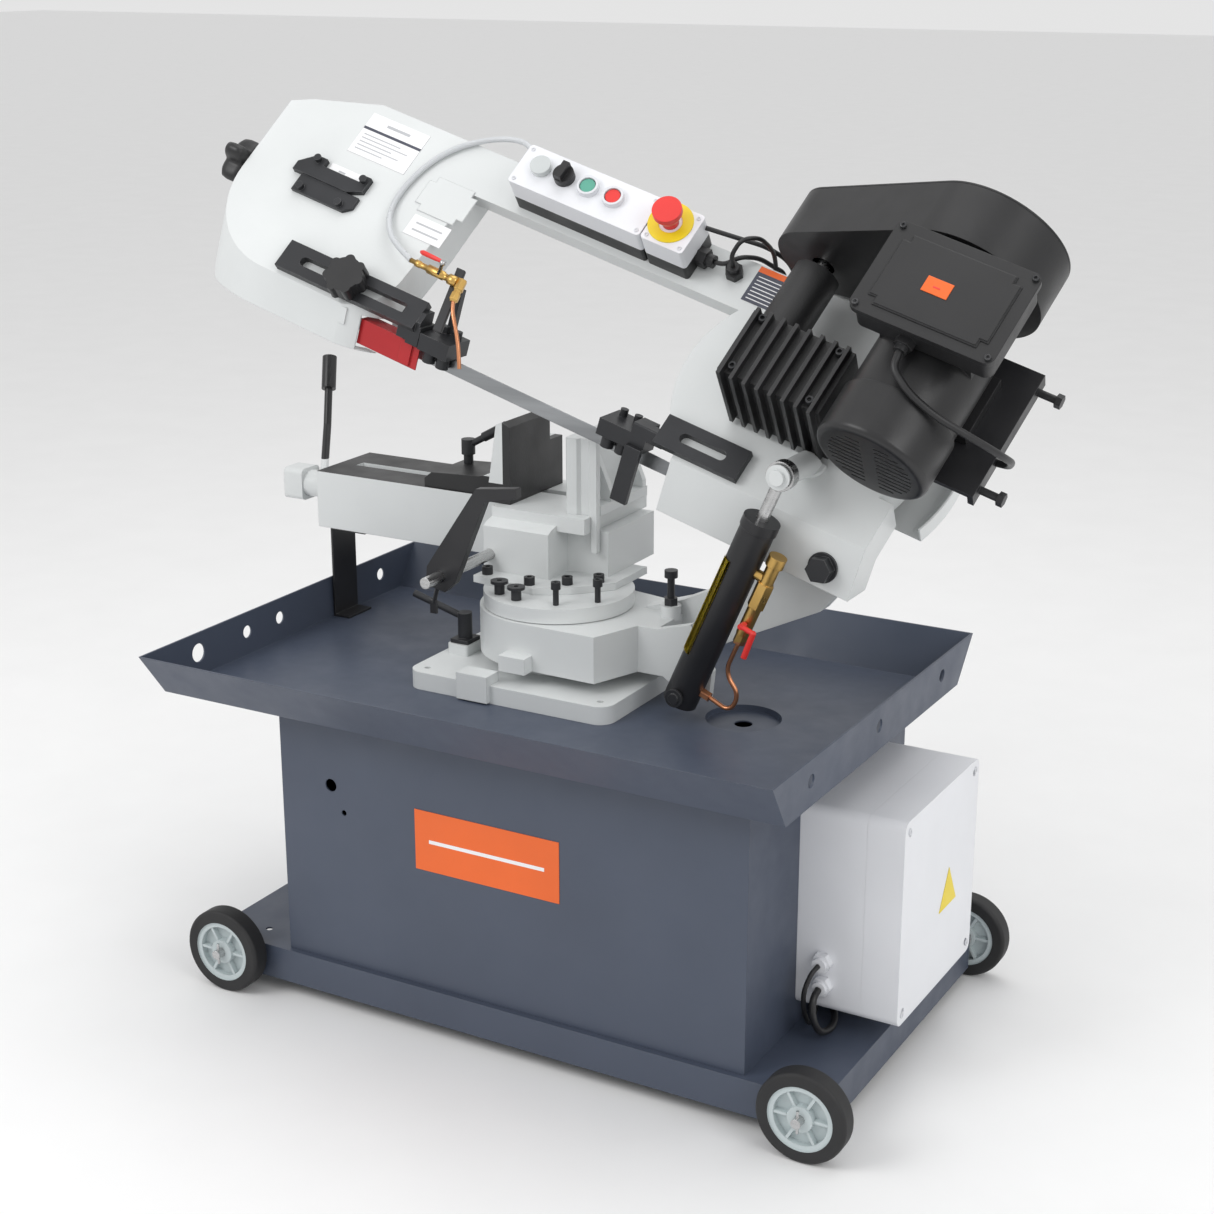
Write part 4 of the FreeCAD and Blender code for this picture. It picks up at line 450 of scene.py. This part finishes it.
def lathe(name, start, end, profile, body, finish, sides=20):
    """A turned piece: profile is (share of the way along, radius in mm)."""
    side_a = (end - start).orthogonal().normalized()
    side_b = (end - start).normalized().cross(side_a)
    bm = bmesh.new()
    skin(bm, [circle(bm, start.lerp(end, share), side_a * radius * MM, side_b * radius * MM,
                     sides) for share, radius in profile])
    mesh = made(name, bm)
    for polygon in mesh.polygons:
        polygon.use_smooth = len(polygon.vertices) == 4 and sides > 6
    return add_piece(name, mesh, body, (finish,))


def line_piece(name, points, radius, body, finish):
    """A round smooth line through the air, such as a pipe or a hose."""
    curve = bpy.data.curves.new(name, "CURVE")
    curve.dimensions = "3D"
    curve.bevel_depth = radius * MM
    curve.bevel_resolution = 5
    curve.resolution_u = 16
    curve.use_fill_caps = True
    spline = curve.splines.new("NURBS")
    spline.points.add(len(points) - 1)
    for point, place in zip(spline.points, points):
        point.co = (*place, 1.0)
    spline.order_u = 3
    spline.use_endpoint_u = True
    return add_piece(name, curve, body, (finish,))


line_piece("coolant_hose", [head(-206, 300, 60), head(-232, 322, 56), head(-262, 326, 50),
                            head(-300, 312, 46), head(-338, 280, 45), head(-362, 236, 45),
                            head(-370, 184, 45), head(-364, 150, 46), head(-346, 124, 50),
                            head(-318, 104, 60), head(-276, 88, 70)],
           4.0, "bow", "hose_plastic")
lathe("coolant_valve", head(-276, 88, 70), head(-196, 86, 70),
      [(0.0, 3.4), (0.10, 3.4), (0.11, 5.0), (0.20, 5.0), (0.22, 4.2), (0.36, 4.2), (0.38, 6.4),
       (0.70, 6.4), (0.72, 5.0), (0.80, 5.0), (0.82, 7.5), (1.0, 7.5)],
      "left_guide", "brass")
lathe("coolant_elbow", head(-192, 92, 70), head(-186, 58, 70),
      [(0.0, 7.0), (0.45, 7.0), (0.5, 5.4), (0.6, 5.4), (0.62, 6.6), (0.9, 6.6), (1.0, 4.0)],
      "left_guide", "brass", 6)
line_piece("coolant_pipe", [head(-186, 60, 70), head(-180, 48, 70), head(-170, 36, 66),
                            head(-160, 24, 60), head(-150, 10, 52), head(-142, -4, 44),
                            head(-138, -12, 38)],
           2.8, "left_guide", "copper")
lathe("coolant_lever", head(-266, 102, 78), head(-224, 99, 84),
      [(0.0, 2.2), (0.1, 3.6), (0.6, 3.2), (0.9, 2.6), (1.0, 1.6)], "left_guide", "red_plastic")
lathe("coolant_stem", head(-226, 84, 74), head(-224, 100, 86),
      [(0.0, 2.6), (0.7, 2.6), (0.72, 4.2), (1.0, 4.0)], "left_guide", "steel")


SCREW_SHAPE = [(1.0, 0.0), (1.0, 0.8), (0.9, 1.0), (0.52, 1.0), (0.5, 0.45)]


def screws(name, places, out, radius, height, body, finish):
    """Screw heads with a round socket; their shape is (share of radius, share of height)."""
    side_a = out.orthogonal().normalized() * radius * MM
    side_b = out.cross(side_a)
    bm = bmesh.new()
    for place in places:
        skin(bm, [circle(bm, place + out * level * height * MM, side_a * share, side_b * share,
                         18) for share, level in SCREW_SHAPE])
    return add_piece(name, made(name, bm), body, (finish,))


screws("panel_screws", [head(along, up, PANEL_TOP) for along in (-199, -2, 14, 65)
                        for up in (245, 295)],
       OUT, 3.0, 1.0, "bow", "grey_plastic")
screws("gearbox_screws", [head(along, up, 160) for along in (243.7, 353.0)
                          for up in (97, 171)],
       OUT, 5.6, 8.0, "bow", "black_iron")
screws("terminal_screws", [head(along, up, TERMINAL_TOP) for along in (388, 558)
                           for up in (170, 284)],
       OUT, 4.0, 3.5, "bow", "black_iron")
LID_INSET = 14 * MM
screws("lid_screws", [Vector((lid_high.x, y, z))
                      for y in (lid_low.y + LID_INSET, lid_high.y - LID_INSET)
                      for z in (lid_low.z + LID_INSET, lid_high.z - LID_INSET)],
       RIGHT, 4.5, 1.6, "stand", "grey_plastic")


def raised_panel(name, low, high, out, height, soft, body, finish):
    """A soft-edged raised panel on a face of the head, between two (along, up) corners."""
    bm = bmesh.new()
    corners = [head(low[0], low[1], out), head(high[0], low[1], out),
               head(high[0], high[1], out), head(low[0], high[1], out)]
    slab(bm, corners, OUT * height * MM)
    bmesh.ops.recalc_face_normals(bm, faces=bm.faces)
    uprights = [edge for edge in bm.edges
                if abs((edge.verts[0].co - edge.verts[1].co).normalized().dot(OUT)) > 0.9]
    bmesh.ops.bevel(bm, geom=uprights, offset=soft * MM, segments=6, affect="EDGES")
    top = [edge for edge in bm.edges if all(
        abs(head_place(vert.co)[2] - out - height) < 0.01 for vert in edge.verts)]
    bmesh.ops.bevel(bm, geom=top, offset=height * 0.6 * MM, segments=3, affect="EDGES")
    return add_piece(name, made(name, bm), body, (finish,))


raised_panel("terminal_lid_panel", (396, 176), (550, 278), TERMINAL_TOP, 3.0, 10.0, "bow",
             "black_plastic")
raised_panel("lobe_pad", (-344, 172), (-262, 232), FRONT, 1.4, 10.0, "bow", "casting_paint")


def star_knob():
    """The tension knob: a crowned star of four lobes on a round boss."""
    knob_low, knob_high = -650.0, -618.0
    crown = ((0.0, 0.80), (0.12, 0.95), (0.35, 1.0), (0.7, 1.0), (0.9, 0.93), (1.0, 0.72))
    turns = [2 * math.pi * k / 64 for k in range(64)]
    outlines = [(knob_low + (knob_high - knob_low) * share,
                 [size * (27.0 + 8.0 * math.cos(4 * a)) for a in turns])
                for share, size in crown]
    outlines += [(along, [13.0] * 64) for along in (knob_high, knob_high + 6.0)]
    bm = bmesh.new()
    skin(bm, [[bm.verts.new(head(along, KNOB_UP + radius * math.cos(a),
                                 KNOB_OUT + radius * math.sin(a)))
               for a, radius in zip(turns, radii)] for along, radii in outlines])
    mesh = made("tension_star", bm)
    for polygon in mesh.polygons:
        polygon.use_smooth = len(polygon.vertices) == 4
    piece = add_piece("tension_star", mesh, "tension_knob", ("black_plastic",))
    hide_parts("tension_knob")


star_knob()


def coolant_post():
    """The flat bar on the left guide that carries the coolant valve."""
    bm = bmesh.new()
    width = ALONG * 7 * MM
    foot, top = head(-186, 14, 56), head(-206, 108, 62)
    slab(bm, [foot - width, foot + width, top + width, top - width], OUT * 5 * MM)
    bmesh.ops.recalc_face_normals(bm, faces=bm.faces)
    bmesh.ops.bevel(bm, geom=list(bm.edges), offset=0.8 * MM, segments=2, affect="EDGES")
    add_piece("coolant_post", made("coolant_post", bm), "left_guide", ("black_paint",))


coolant_post()

BARREL_R = 24.2
barrel_foot = Vector(joints["cylinder_swing"]["pos_m"])
barrel_eye = Vector((0.32911, -0.030, 0.782))
barrel_way = (barrel_eye - barrel_foot).normalized()


def barrel_label():
    """A strip wrapped over part of the barrel."""
    barrel_side = FORWARD.cross(barrel_way).normalized()
    bm = bmesh.new()
    columns = []
    for k in range(9):
        a = math.radians(14 + 7 * k)
        out = barrel_side * math.cos(a) + FORWARD * math.sin(a)
        columns.append([bm.verts.new(barrel_foot + barrel_way * along * MM
                                     + out * BARREL_R * MM) for along in (62, 205)])
    for left, right in zip(columns, columns[1:]):
        bm.faces.new((left[0], right[0], right[1], left[1]))
    bmesh.ops.solidify(bm, geom=list(bm.faces), thickness=-0.3 * MM)
    add_piece("barrel_label", made("barrel_label", bm), "cylinder", ("yellow_label",))


barrel_label()

# ---- floor, light and camera ---------------------------------------------------------------

FLOOR_REACH = 30.0
floor_mesh = bpy.data.meshes.new("floor")
floor_mesh.from_pydata([(x * FLOOR_REACH, y * FLOOR_REACH, 0)
                        for x, y in ((-1, -1), (1, -1), (1, 1), (-1, 1))], [], [(0, 1, 2, 3)])
floor = bpy.data.objects.new("floor", floor_mesh)
bpy.context.scene.collection.objects.link(floor)
floor_mesh.materials.append(surface("floor_pale", (0.86, 0.86, 0.86), 0.85, blotch=0.01))

world = bpy.data.worlds.new("world")
bpy.context.scene.world = world
world.use_nodes = True
backdrop = world.node_tree.nodes["Background"]
backdrop.inputs["Color"].default_value = (1.0, 1.0, 1.0, 1.0)
backdrop.inputs["Strength"].default_value = 0.78


def area_light(name, place, target, size, power):
    """A square lamp at a place, turned towards its target."""
    light = bpy.data.lights.new(name, "AREA")
    light.size = size
    light.energy = power
    lamp = bpy.data.objects.new(name, light)
    lamp.location = place
    lamp.rotation_euler = (Vector(target) - Vector(place)).to_track_quat("-Z", "Y").to_euler()
    bpy.context.scene.collection.objects.link(lamp)


area_light("key", (-1.6, -2.6, 3.0), (0, 0, 0.6), 1.8, 48.0)
area_light("side", (3.0, -1.2, 2.2), (0, 0, 0.6), 1.6, 22.0)
area_light("top", (0.3, 0.6, 3.4), (0, 0, 0.6), 2.4, 26.0)

camera = bpy.data.cameras.new("camera")
camera.lens = 62.18
camera.sensor_width = 36.0
viewer = bpy.data.objects.new("camera", camera)
viewer.location = (1.3738, -2.3001, 1.4103)
viewer.rotation_euler = Euler((math.radians(72.25), math.radians(0.04), math.radians(29.62)))
bpy.context.scene.collection.objects.link(viewer)
bpy.context.scene.camera = viewer
bpy.context.scene.view_settings.view_transform = "Standard"
